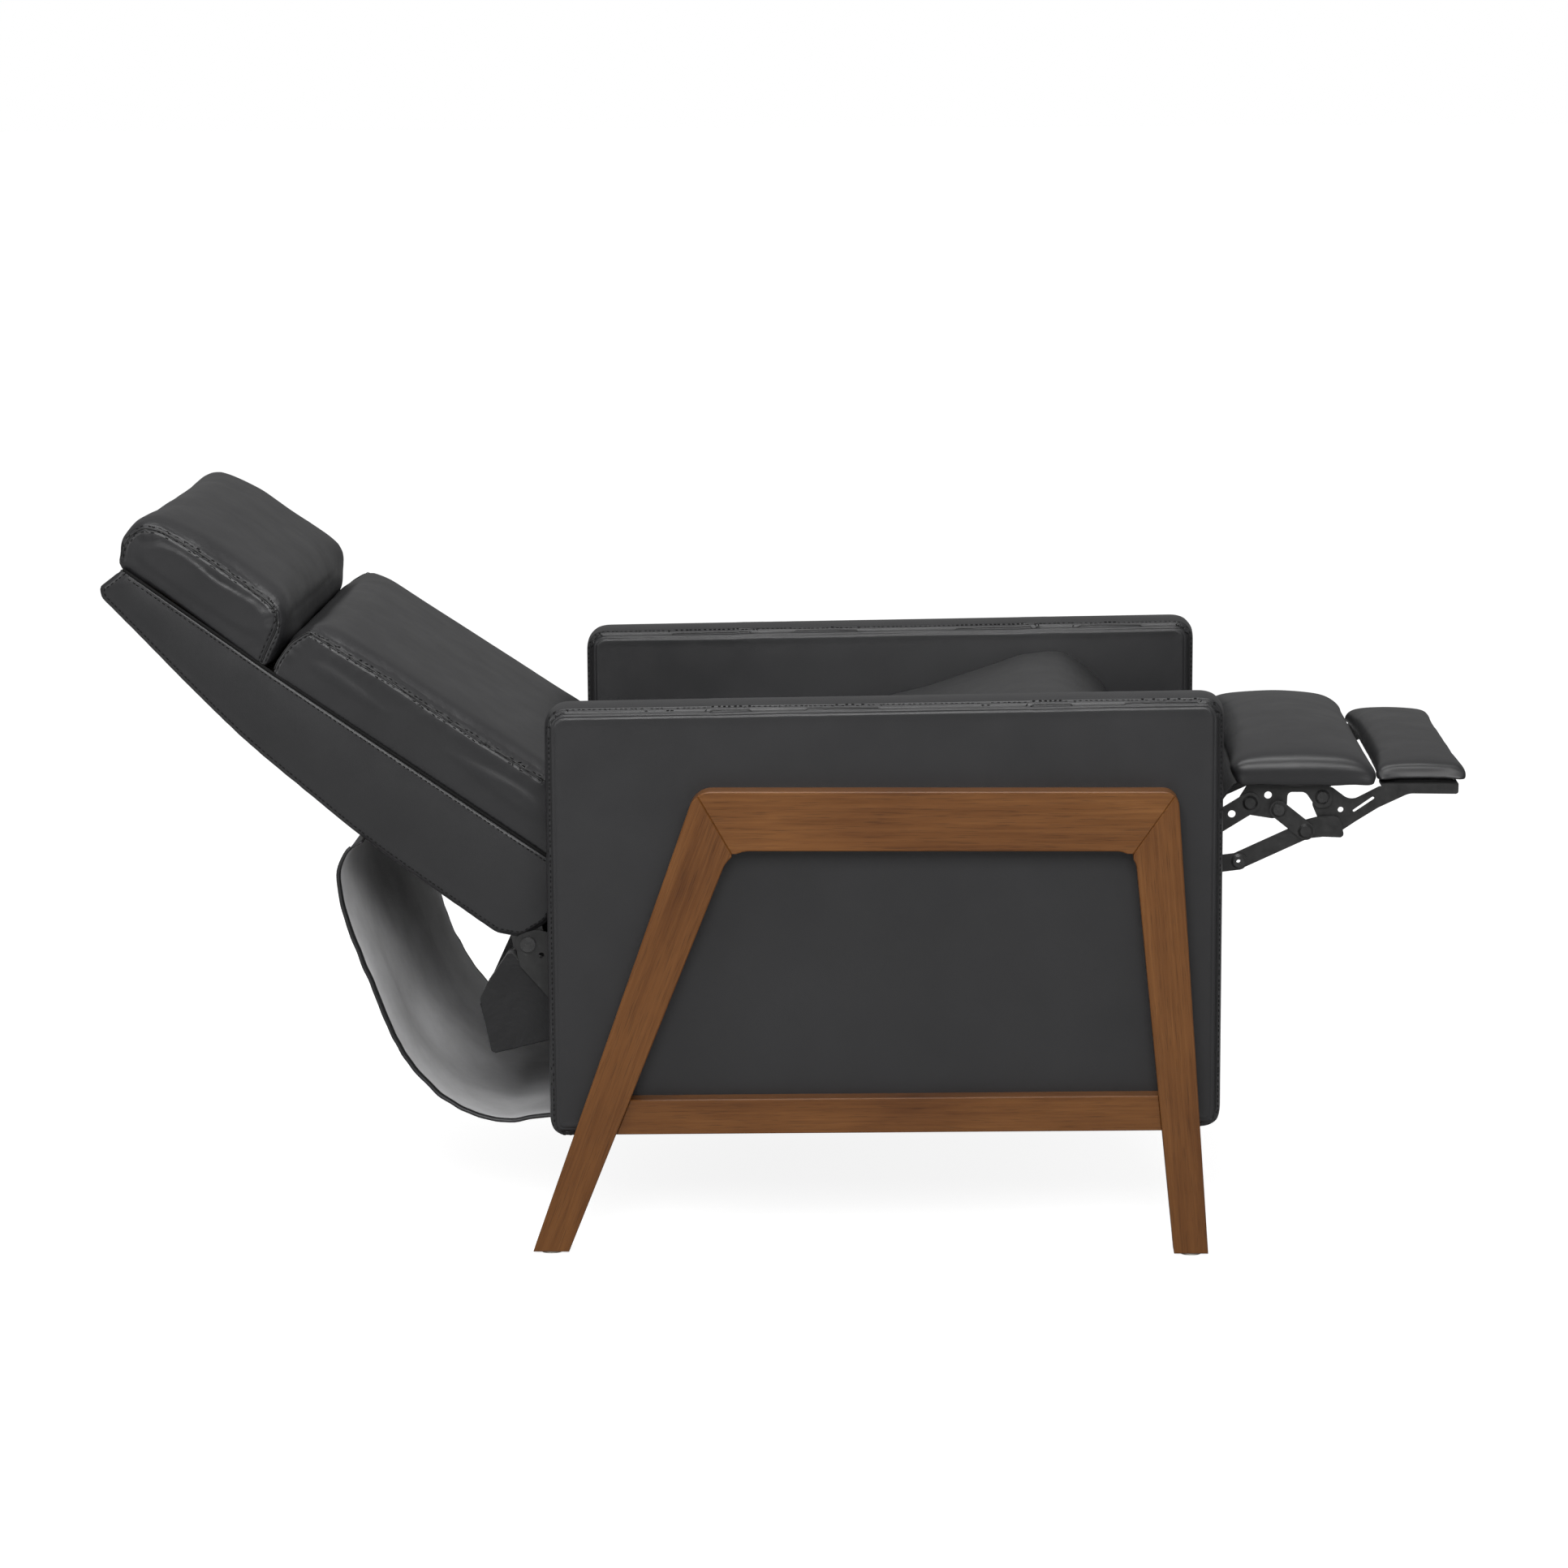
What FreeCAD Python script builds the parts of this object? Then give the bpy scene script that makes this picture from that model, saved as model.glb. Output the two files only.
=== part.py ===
import FreeCAD, Part
import math
import os
from FreeCAD import Vector

# Push-back recliner, shown fully reclined with the footrest out.
# +X is the way the sitter faces, +Y the sitter's left, +Z up. Millimetres and degrees.
# Side-view places are (x, z); the whole chair is centred on the floor at the end.

# Overall widths
SEAT_GAP = 520.0
ARM_THICKNESS = 66.0
SIDE_FRAME_THICKNESS = 28.0
STRETCHER_THICKNESS = 21.5
FIT = 0.3
PIN_FIT = 0.05

# Arm panels
ARM_REAR = -408.0
ARM_LENGTH = 694.0
ARM_HEIGHT = 448.6
ARM_LIFT = 120.6
ARM_SLOPE = 0.96
ARM_CORNER = 18.0
ARM_EDGE = 6.0
ARM_SKIN = 11.0
ARM_BOARD = 20.0
ARM_MID_RAIL_TOP = 360.0

# Wooden side frames
RAIL_TOP = 490.0
RAIL_DEPTH = 62.0
REAR_FOOT = -428.2
REAR_FOOT_WIDTH = 37.4
REAR_LEG_OUTER_LEAN = 0.3558
REAR_LEG_INNER_LEAN = 0.4030
FRONT_FOOT = 276.3
FRONT_FOOT_WIDTH = 35.4
FRONT_LEG_OUTER_LEAN = -0.0720
FRONT_LEG_INNER_LEAN = -0.1012
REAR_OUTER_RADIUS = 24.0
REAR_INNER_RADIUS = 30.0
FRONT_OUTER_RADIUS = 16.0
FRONT_INNER_RADIUS = 21.0
STRETCHER_REAR_TOP = 163.8
STRETCHER_FRONT_TOP = 169.6
STRETCHER_DEPTH = 37.0
WOOD_ROUND = 2.0
GLIDE_HEIGHT = 2.5
GLIDE_RADIUS = 11.0
GLIDE_NAIL_RADIUS = 1.5
GLIDE_NAIL_LENGTH = 14.0
GLIDE_INSET = 17.5

# Frame bolts
BOLT_RADIUS = 4.0
BOLT_HEAD_RADIUS = 8.0
BOLT_HEAD = 4.0
BOLT_BITE = 16.0
RAIL_BOLTS_X = (-150.0, 130.0)
STRETCHER_BOLTS_X = (-250.0, 170.0)

# Cross rails of the base
CROSS_RAIL_WIDTH = 22.0
CROSS_RAIL_DEPTH = 40.0
FRONT_CROSS_X = 20.0
REAR_CROSS_X = -402.0
CROSS_RAIL_BOTTOM = 124.0

# Slide rails and carriage
SLIDE_REAR = -330.0
SLIDE_LENGTH = 400.0
SLIDE_BOTTOM = 236.0
SLIDE_HEIGHT = 26.0
SLIDE_DEPTH = 12.0
SHEET_STEEL = 2.0
SLIDE_SCREWS_X = (-300.0, -120.0, 40.0)
SCREW_RADIUS = 2.5
SCREW_HEAD_RADIUS = 4.5
SCREW_HEAD = 1.5
SCREW_LENGTH = 18.0
BLOCK_LENGTH = 50.0
BLOCK_CENTRES_X = (-270.0, -25.0)
PLATE_STEEL = 3.0
CARRIAGE_REAR = -300.0
CARRIAGE_LENGTH = 310.0
CARRIAGE_BOTTOM = 206.0
CARRIAGE_TOP = 268.0
TILT_PIVOT = (-200.0, 300.0)
TILT_EYE = 17.0
TUBE_RADIUS = 12.0
TUBE_WALL = 1.8
TUBE_PLACES = ((-255.0, 219.0), (-30.0, 222.0))

# Seat box
SEAT_PITCH = 14.0
SEAT_CORNER = (-478.0, 189.0)
BOX_LENGTH = 688.0
BOX_HEIGHT = 75.0
SEAT_BOARD = 22.0
SEAT_BOARD_OUTER = 243.0
SEAT_RAIL = 18.0
FRONT_RAIL_U = 655.0
FRONT_RAIL_W = 40.0
SPRING_ROWS = (-150.0, -50.0, 50.0, 150.0)
SPRING_WIRE = 1.9
SPRING_BEND = 12.0
SPRING_REACH = 11.0
SPRING_DROP = 6.0
COVER_SHEET = 1.2
COVER_FRONT_U = 500.0

# Seat cushion
CUSHION_HALF_WIDTH = 248.0
CUSHION_THICKNESS = 127.0
CUSHION_CROWN = 6.0
CUSHION_HUMP = 4.0
CUSHION_NOSE_U = 727.0
CUSHION_REAR_ARC = 172.0
CUSHION_TAIL_HALF_WIDTH = 214.0

# Back, in its own frame: s up the back from the recline pivot, n towards the sitter
RECLINE_PIVOT = (-437.5, 308.0)
BACK_ANGLE = 33.0
BACK_HALF_WIDTH = 250.0
BACK_LENGTH = 581.0
BACK_DEPTH = 90.0
BACK_TOP_DEPTH = 108.0
BACK_RIM_RISE = 9.0
BACK_SHELL_WALL = 3.5
BACK_BEND_S = 379.0
BACK_BEND_N = 25.0
BACK_TOP_N = 74.0
BACK_POST = 20.0
BACK_POST_OUTER = 239.5
BACK_RAIL_WIDTH = 22.0
STRAP_PLACES = (90.0, 180.0, 270.0, 360.0, 450.0)
STRAP_WIDTH = 50.0
STRAP_THICKNESS = 1.6
PIVOT_EYE = 13.0
PIVOT_RADIUS = 5.0
PIVOT_HEAD_RADIUS = 8.0
PIVOT_HEAD = 3.5
PIVOT_NUT = 4.5
SMALL_HOLE = 3.0

# Back cushions
LUMBAR_BOTTOM = 25.0
LUMBAR_TOP = 384.0
LUMBAR_FRONT = 160.0
HEADREST_TOP = 590.0
HEADREST_FRONT = 170.0
BACK_CUSHION_CROWN = 6.0
BACK_CUSHION_HALF_WIDTH = 249.0
CREASE_GAP = 4.0

# Footrest linkage: inner face of each layer of plates, stacked inwards from the seat board
LAYER_PITCH = 3.6
LAYER_MOUNT = SEAT_BOARD_OUTER - SEAT_BOARD - PLATE_STEEL
LAYER_LOWER = LAYER_MOUNT - LAYER_PITCH
LAYER_DRIVE = LAYER_LOWER - LAYER_PITCH
LAYER_UPPER = LAYER_DRIVE - LAYER_PITCH
LAYER_BRACKET = LAYER_UPPER - LAYER_PITCH
LAYER_FLIPPER = LAYER_BRACKET - LAYER_PITCH
LINK_HALF_WIDTH = 11.0
LINK_PIVOT_U = 663.6
LINK_PIVOT_W = 24.3
LOWER_LINK_LENGTH = 153.05
LOWER_LINK_SLOPE = 7.0
CROSSING_BACK = 38.2
UPPER_LINK_CHORD = 82.8
UPPER_LINK_CHORD_SLOPE = 52.9
UPPER_LINK_SLOPE = 32.0
UPPER_LINK_ARM = 60.0
ROCKER_PIVOT = (29.6, -6.2)
ELBOW_PIVOT = (58.1, -28.9)
FLIPPER_HINGE = (76.2, 5.7)
FLIPPER_DRIVE = (9.9, -30.6)
RIVET_RADIUS = 4.0
RIVET_HEAD_RADIUS = 8.0
RIVET_HEAD = 2.4
WASHER_RADIUS = 6.0
LIGHTENING_HOLE = 4.0

# Footrest boards and pads, from the upper link's front pivot
BRACKET_TOP = 17.0
FLANGE_WIDTH = 22.0
BOARD_THICKNESS = 8.0
BOARD_HALF_WIDTH = 214.0
PAD_HALF_WIDTH = 228.0
PAD_REAR = -17.0
PAD_FRONT = 127.0
PAD_BOTTOM = BRACKET_TOP + PLATE_STEEL + FIT
PAD_TOP = 48.5
PAD_CROWN = 5.0
PAD_BORDER = 12.0
FLIPPER_PAD_REAR = 59.5
FLIPPER_PAD_FRONT = 148.0
FLIPPER_PAD_TOP = 30.0
FLIPPER_CROWN = 4.0
FLIPPER_FLANGE = 10.6
FLIPPER_FLANGE_WIDTH = 28.0
FLIPPER_PAD_BOTTOM = FLIPPER_FLANGE + PLATE_STEEL + FIT
FLIPPER_HALF_WIDTH = 194.0
FLIPPER_BOARD_EDGE = 7.0
FLIPPER_BRACKET_END = 143.0
FLIPPER_BRACKET_DEPTH = 11.0

# Hanging cloth
SKIRT_HALF_WIDTH = 244.0
SKIRT_SHEET = 1.8
FLAP_HALF_WIDTH = 183.0
FLAP_SHEET = 1.6

# Where a padded form is cut across: shares of its border, then of its half width
BORDER_STEPS = (0.0, 0.12, 0.45, 1.0)
MIDDLE_STEPS = (0.7, 0.35)

HALF_GAP = SEAT_GAP / 2
ARM_OUTER = HALF_GAP + ARM_THICKNESS
NODES = {}


def turned(origin, along, across, angle):
    """A point given along and across a line that leaves origin at angle above +X."""
    c = math.cos(math.radians(angle))
    s = math.sin(math.radians(angle))
    return (origin[0] + along * c - across * s, origin[1] + along * s + across * c)


def seat_at(u, w, radius=0.0):
    x, z = turned(SEAT_CORNER, u, w, SEAT_PITCH)
    return (x, z, radius)


def back_at(s, n, radius=0.0):
    x, z = turned(RECLINE_PIVOT, s, -n, 180.0 - BACK_ANGLE)
    return (x, z, radius)


def rounded_wire(corners, y):
    """A closed wire in the plane y, with an arc at each corner that has a radius."""
    points = [Vector(c[0], y, c[1]) for c in corners]
    starts, mids, ends = [], [], []
    for i, here in enumerate(points):
        radius = corners[i][2] if len(corners[i]) > 2 else 0.0
        if radius <= 0:
            starts.append(here)
            mids.append(None)
            ends.append(here)
            continue
        back = (points[i - 1] - here).normalize()
        ahead = (points[(i + 1) % len(points)] - here).normalize()
        half = back.getAngle(ahead) / 2
        inward = (back + ahead).normalize()
        reach = radius / math.tan(half)
        starts.append(here + back * reach)
        mids.append(here + inward * (radius / math.sin(half) - radius))
        ends.append(here + ahead * reach)
    edges = []
    for i, mid in enumerate(mids):
        if mid is not None:
            edges.append(Part.Arc(starts[i], mid, ends[i]).toShape())
        following = starts[(i + 1) % len(points)]
        if (following - ends[i]).Length > 1e-6:
            edges.append(Part.LineSegment(ends[i], following).toShape())
    return Part.Wire(edges)


def prism(corners, y0, y1):
    face = Part.Face(rounded_wire(corners, y0))
    return face.extrude(Vector(0, y1 - y0, 0))


def rod(place, radius, y0, y1):
    return Part.makeCylinder(radius, y1 - y0, Vector(place[0], y0, place[1]), Vector(0, 1, 0))


def block(x0, x1, y0, y1, z0, z1):
    return Part.makeBox(x1 - x0, y1 - y0, z1 - z0, Vector(x0, y0, z0))


def mirrored(shape):
    return shape.mirror(Vector(0, 0, 0), Vector(0, 1, 0))


def both_sides(*shapes):
    solids = []
    for shape in shapes:
        solids += shape.Solids
        solids += mirrored(shape).Solids
    return Part.makeCompound(solids)


def left_and_right(name, shape):
    NODES["left_" + name] = shape
    NODES["right_" + name] = mirrored(shape)


def capsule(a, b, half_width, layer):
    """A straight flat link from eye a to eye b."""
    length = math.dist(a, b)
    angle = math.degrees(math.atan2(b[1] - a[1], b[0] - a[0]))
    radius = half_width * 0.98
    corners = []
    for along, across in ((-half_width, -half_width), (length + half_width, -half_width),
                          (length + half_width, half_width), (-half_width, half_width)):
        corners.append(turned(a, along, across, angle) + (radius,))
    return prism(corners, layer, layer + PLATE_STEEL)


def drilled(plate, *holes):
    for place, radius in holes:
        plate = plate.cut(rod(place, radius, 0.0, ARM_OUTER))
    return plate


def rivet(place, head_side, tail_side):
    """A round-headed rivet: its head rests on the plate face at head_side."""
    shank = rod(place, RIVET_RADIUS, min(head_side, tail_side), max(head_side, tail_side))
    out = 1.0 if head_side > tail_side else -1.0
    head = Part.makeCone(RIVET_HEAD_RADIUS, RIVET_HEAD_RADIUS * 0.7, RIVET_HEAD,
                         Vector(place[0], head_side, place[1]), Vector(0, out, 0))
    return shank.fuse(head)


def crowned(corners_at, half_width, border, inset, crown):
    """A padded form: narrow at its two sides, full inside the border, highest in the middle."""
    near_side = []
    for share in BORDER_STEPS:
        edge = inset * (1 - math.sqrt(1 - (1 - share) ** 2))
        near_side.append((-half_width + border * share, edge))
    near_side += [(-half_width * share, 0.0) for share in MIDDLE_STEPS]
    stations = near_side + [(0.0, 0.0)] + [(-y, edge) for y, edge in near_side[::-1]]
    wires = []
    for y, edge in stations:
        rise = crown * (1 - (y / half_width) ** 2)
        wires.append(rounded_wire(corners_at(edge, rise), y))
    return Part.makeLoft(wires, True, True)


def strip_corners(path, thickness):
    """The outline of a thin sheet of even thickness along an open path of (x, z, radius)."""
    offset = []
    for i, here in enumerate(path):
        before = path[max(i - 1, 0)]
        after = path[min(i + 1, len(path) - 1)]
        first = Vector(here[0] - before[0], 0, here[1] - before[1])
        second = Vector(after[0] - here[0], 0, after[1] - here[1])
        if first.Length == 0:
            first = second
        if second.Length == 0:
            second = first
        n1 = Vector(-first.z, 0, first.x).normalize()
        n2 = Vector(-second.z, 0, second.x).normalize()
        middle = (n1 + n2).normalize()
        step = middle * (thickness / middle.dot(n1))
        inside = n1.x * second.x + n1.z * second.z > 0
        radius = here[2] - thickness if inside else here[2] + thickness
        offset.append((here[0] + step.x, here[1] + step.z, radius if here[2] > 0 else 0.0))
    return list(path) + offset[::-1]


# Arms

def arm_at(t, h, radius=0.0):
    """t along the arm from its rear, h up from its lower edge."""
    return (ARM_REAR + t, ARM_LIFT + t * math.tan(math.radians(ARM_SLOPE)) + h, radius)


def arm_box(inset, radius, t0=0.0, t1=ARM_LENGTH, h0=0.0, h1=ARM_HEIGHT):
    return (arm_at(t0 + inset, h0 + inset, radius), arm_at(t1 - inset, h0 + inset, radius),
            arm_at(t1 - inset, h1 - inset, radius), arm_at(t0 + inset, h1 - inset, radius))


def make_arms():
    cover = prism(arm_box(0, ARM_CORNER), HALF_GAP, ARM_OUTER)
    rims = [e for e in cover.Edges
            if len({round(v.Y, 3) for v in e.Vertexes}) == 1]
    cover = cover.makeFillet(ARM_EDGE, rims)
    inner, outer = HALF_GAP + ARM_SKIN, ARM_OUTER - ARM_SKIN
    cover = cover.cut(prism(arm_box(ARM_SKIN, 0), inner, outer))

    boards = []
    low, high = ARM_SKIN + FIT, ARM_HEIGHT - ARM_SKIN - FIT
    back, front = ARM_SKIN + FIT, ARM_LENGTH - ARM_SKIN - FIT
    y0, y1 = inner + FIT, outer - FIT
    for t in (back, front - ARM_BOARD):
        boards.append(prism(arm_box(0, 0, t, t + ARM_BOARD, low, high), y0, y1))
    stretcher_board = STRETCHER_DEPTH + 2 * ARM_BOARD
    for h0, h1 in ((low, low + stretcher_board), (high - ARM_BOARD, high),
                   (ARM_MID_RAIL_TOP - RAIL_DEPTH, ARM_MID_RAIL_TOP)):
        boards.append(prism(arm_box(0, 0, back + ARM_BOARD, front - ARM_BOARD, h0, h1), y0, y1))
    for place in bolt_places():
        hole = rod(place, BOLT_RADIUS, HALF_GAP, ARM_OUTER)
        cover = cover.cut(hole)
        boards = [board.cut(hole) for board in boards]
    for place in slide_screw_places():
        hole = rod(place, SCREW_RADIUS, HALF_GAP, ARM_OUTER - ARM_SKIN)
        cover = cover.cut(hole)
        boards = [board.cut(hole) for board in boards]
    left_and_right("arm_cover", cover)
    left_and_right("arm_frame", Part.makeCompound([s for b in boards for s in b.Solids]))


# Wooden side frames

def rear_outer(z):
    return REAR_FOOT + REAR_LEG_OUTER_LEAN * z


def rear_inner(z):
    return REAR_FOOT + REAR_FOOT_WIDTH + REAR_LEG_INNER_LEAN * z


def front_outer(z):
    return FRONT_FOOT + FRONT_LEG_OUTER_LEAN * z


def front_inner(z):
    return FRONT_FOOT - FRONT_FOOT_WIDTH + FRONT_LEG_INNER_LEAN * z


def stretcher_mid(x):
    x0, x1 = rear_inner(STRETCHER_REAR_TOP), front_inner(STRETCHER_FRONT_TOP)
    rise = (STRETCHER_FRONT_TOP - STRETCHER_REAR_TOP) * (x - x0) / (x1 - x0)
    return STRETCHER_REAR_TOP + rise - STRETCHER_DEPTH / 2


def bolt_places():
    rail = [(x, RAIL_TOP - RAIL_DEPTH / 2) for x in RAIL_BOLTS_X]
    return rail + [(x, stretcher_mid(x)) for x in STRETCHER_BOLTS_X]


def slide_screw_places():
    return [(x, SLIDE_BOTTOM + SLIDE_HEIGHT / 2) for x in SLIDE_SCREWS_X]


def eased(shape, outer_y):
    """Rounds the long edges of the outer face, which a hand would touch."""
    edges = []
    for edge in shape.Edges:
        on_face = all(abs(v.Y - outer_y) < 1e-6 for v in edge.Vertexes)
        if on_face and edge.Length > 4 * WOOD_ROUND:
            edges.append(edge)
    return shape.makeChamfer(WOOD_ROUND * 0.5, edges)


def make_side_frames():
    under = RAIL_TOP - RAIL_DEPTH
    rear_top, rear_in = (rear_outer(RAIL_TOP), RAIL_TOP), (rear_inner(under), under)
    front_top, front_in = (front_outer(RAIL_TOP), RAIL_TOP), (front_inner(under), under)
    y0, y1 = ARM_OUTER, ARM_OUTER + SIDE_FRAME_THICKNESS
    frame = (
        (rear_outer(GLIDE_HEIGHT), GLIDE_HEIGHT, 0), rear_top + (REAR_OUTER_RADIUS,),
        front_top + (FRONT_OUTER_RADIUS,), (front_outer(GLIDE_HEIGHT), GLIDE_HEIGHT, 0),
        (front_inner(GLIDE_HEIGHT), GLIDE_HEIGHT, 0), front_in + (FRONT_INNER_RADIUS,),
        rear_in + (REAR_INNER_RADIUS,), (rear_inner(GLIDE_HEIGHT), GLIDE_HEIGHT, 0))
    whole = prism(frame, y0, y1)
    reach = 3.0
    rear_cut = extended(rear_top, rear_in, reach)
    front_cut = extended(front_top, front_in, reach)
    far = ARM_LENGTH
    rail_zone = prism((rear_cut[0], front_cut[0], front_cut[1], rear_cut[1]), y0, y1)
    rear_zone = prism((rear_cut[0], rear_cut[1], (rear_cut[1][0], -far), (-far, -far), (-far, RAIL_TOP + far)),
                      y0, y1)
    front_zone = prism((front_cut[0], front_cut[1], (front_cut[1][0], -far), (far, -far), (far, RAIL_TOP + far)),
                       y0, y1)
    rail = whole.common(rail_zone)
    rear_leg = whole.common(rear_zone)
    front_leg = whole.common(front_zone)

    top0, top1 = STRETCHER_REAR_TOP, STRETCHER_FRONT_TOP
    low0, low1 = top0 - STRETCHER_DEPTH, top1 - STRETCHER_DEPTH
    stretcher = prism(((rear_inner(low0), low0), (front_inner(low1), low1), (front_inner(top1), top1),
                       (rear_inner(top0), top0)), y0, y0 + STRETCHER_THICKNESS)
    stretcher = eased(stretcher, y0 + STRETCHER_THICKNESS)
    for place in bolt_places():
        hole = rod(place, BOLT_RADIUS, y0, y0 + BOLT_BITE)
        rail = rail.cut(hole)
        stretcher = stretcher.cut(hole)
    for z_hole, leg in ((GLIDE_NAIL_LENGTH, "rear"), (GLIDE_NAIL_LENGTH, "front")):
        nail = glide_nail(leg, z_hole)
        rear_leg = rear_leg.cut(nail)
        front_leg = front_leg.cut(nail)
    left_and_right("top_rail", eased(rail, y1))
    left_and_right("rear_leg", eased(rear_leg, y1))
    left_and_right("front_leg", eased(front_leg, y1))
    left_and_right("stretcher", stretcher)


def extended(a, b, reach):
    """The line from a to b, lengthened by reach at both ends."""
    length = math.dist(a, b)
    dx, dz = (b[0] - a[0]) / length, (b[1] - a[1]) / length
    return ((a[0] - dx * reach, a[1] - dz * reach), (b[0] + dx * reach, b[1] + dz * reach))


def glide_centre(leg):
    if leg == "rear":
        x = (rear_outer(GLIDE_HEIGHT) + rear_inner(GLIDE_HEIGHT)) / 2
    else:
        x = (front_outer(GLIDE_HEIGHT) + front_inner(GLIDE_HEIGHT)) / 2
    return Vector(x, ARM_OUTER + SIDE_FRAME_THICKNESS / 2, 0)


def glide_nail(leg, length):
    return Part.makeCylinder(GLIDE_NAIL_RADIUS, GLIDE_HEIGHT + length, glide_centre(leg))


def make_fasteners():
    glides = []
    for leg in ("rear", "front"):
        disc = Part.makeCylinder(GLIDE_RADIUS, GLIDE_HEIGHT, glide_centre(leg))
        glides.append(disc.fuse(glide_nail(leg, GLIDE_NAIL_LENGTH - GLIDE_HEIGHT)))
    NODES["floor_glides"] = both_sides(*glides)

    bolts = []
    for place in bolt_places():
        shank = rod(place, BOLT_RADIUS, HALF_GAP, ARM_OUTER + BOLT_BITE)
        bolts.append(shank.fuse(rod(place, BOLT_HEAD_RADIUS, HALF_GAP - BOLT_HEAD, HALF_GAP)))
    NODES["frame_bolts"] = both_sides(*bolts)

    screws = []
    for place in slide_screw_places():
        web = HALF_GAP - SHEET_STEEL
        shank = rod(place, SCREW_RADIUS, web, HALF_GAP + SCREW_LENGTH)
        screws.append(shank.fuse(rod(place, SCREW_HEAD_RADIUS, web - SCREW_HEAD, web)))
    NODES["slide_rail_screws"] = both_sides(*screws)


def make_base_rails():
    top = CROSS_RAIL_BOTTOM + CROSS_RAIL_DEPTH
    for name, x in (("front_cross_rail", FRONT_CROSS_X), ("rear_cross_rail", REAR_CROSS_X)):
        low = max(CROSS_RAIL_BOTTOM, arm_at(x - ARM_REAR, 0)[1])
        NODES[name] = block(x, x + CROSS_RAIL_WIDTH, -HALF_GAP, HALF_GAP, low, low + top - CROSS_RAIL_BOTTOM)

    inner = HALF_GAP - SLIDE_DEPTH
    channel = block(SLIDE_REAR, SLIDE_REAR + SLIDE_LENGTH, inner, HALF_GAP,
                    SLIDE_BOTTOM, SLIDE_BOTTOM + SLIDE_HEIGHT)
    channel = channel.cut(block(SLIDE_REAR, SLIDE_REAR + SLIDE_LENGTH, inner, HALF_GAP - SHEET_STEEL,
                                SLIDE_BOTTOM + SHEET_STEEL, SLIDE_BOTTOM + SLIDE_HEIGHT - SHEET_STEEL))
    for place in slide_screw_places():
        channel = channel.cut(rod(place, SCREW_RADIUS, HALF_GAP - SHEET_STEEL, HALF_GAP))
    left_and_right("slide_rail", channel)


# Carriage

CARRIAGE_INNER = SEAT_BOARD_OUTER + 1.0
CARRIAGE_OUTER = CARRIAGE_INNER + PLATE_STEEL


def make_carriage():
    x0, x1 = CARRIAGE_REAR, CARRIAGE_REAR + CARRIAGE_LENGTH
    tx, tz = TILT_PIVOT
    corners = ((x0, CARRIAGE_BOTTOM, 8), (x1, CARRIAGE_BOTTOM, 8), (x1, CARRIAGE_TOP, 8),
               (tx + 2.6 * TILT_EYE, CARRIAGE_TOP, 20), (tx + TILT_EYE, tz + TILT_EYE, TILT_EYE * 0.9),
               (tx - TILT_EYE, tz + TILT_EYE, TILT_EYE * 0.9), (tx - 2.6 * TILT_EYE, CARRIAGE_TOP, 20),
               (x0, CARRIAGE_TOP, 8))
    plate = prism(corners, CARRIAGE_INNER, CARRIAGE_OUTER)
    plate = drilled(plate, (TILT_PIVOT, PIVOT_RADIUS))
    tubes = []
    for place in TUBE_PLACES:
        plate = plate.cut(rod(place, TUBE_RADIUS, CARRIAGE_INNER, CARRIAGE_OUTER))
        tube = rod(place, TUBE_RADIUS, -CARRIAGE_OUTER, CARRIAGE_OUTER)
        tubes.append(tube.cut(rod(place, TUBE_RADIUS - TUBE_WALL, -CARRIAGE_OUTER, CARRIAGE_OUTER)))
    left_and_right("carriage_plate", plate)
    NODES["carriage_tubes"] = Part.makeCompound(tubes)

    blocks = []
    for x in BLOCK_CENTRES_X:
        shape = block(x - BLOCK_LENGTH / 2, x + BLOCK_LENGTH / 2, CARRIAGE_OUTER, HALF_GAP - SHEET_STEEL - SCREW_HEAD - FIT,
                      SLIDE_BOTTOM + SHEET_STEEL + FIT, SLIDE_BOTTOM + SLIDE_HEIGHT - SHEET_STEEL - FIT)
        blocks.append(shape)
    NODES["slide_blocks"] = both_sides(*blocks)

    inner = SEAT_BOARD_OUTER - SEAT_BOARD
    bolt = rod(TILT_PIVOT, PIVOT_RADIUS, inner - PIVOT_NUT, CARRIAGE_OUTER)
    bolt = bolt.fuse(rod(TILT_PIVOT, PIVOT_HEAD_RADIUS, CARRIAGE_OUTER, CARRIAGE_OUTER + PIVOT_HEAD))
    bolt = bolt.fuse(rod(TILT_PIVOT, PIVOT_HEAD_RADIUS, inner - FIT - PIVOT_NUT, inner - FIT))
    NODES["tilt_bolts"] = both_sides(bolt)


# Seat

def pivot_on_seat():
    """The recline pivot in the seat box's own frame."""
    dx, dz = RECLINE_PIVOT[0] - SEAT_CORNER[0], RECLINE_PIVOT[1] - SEAT_CORNER[1]
    c, s = math.cos(math.radians(SEAT_PITCH)), math.sin(math.radians(SEAT_PITCH))
    return dx * c + dz * s, dz * c - dx * s


HINGE_PLATE_INNER = SEAT_BOARD_OUTER
BACK_BRACKET_OUTER = BACK_POST_OUTER + PLATE_STEEL


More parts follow.
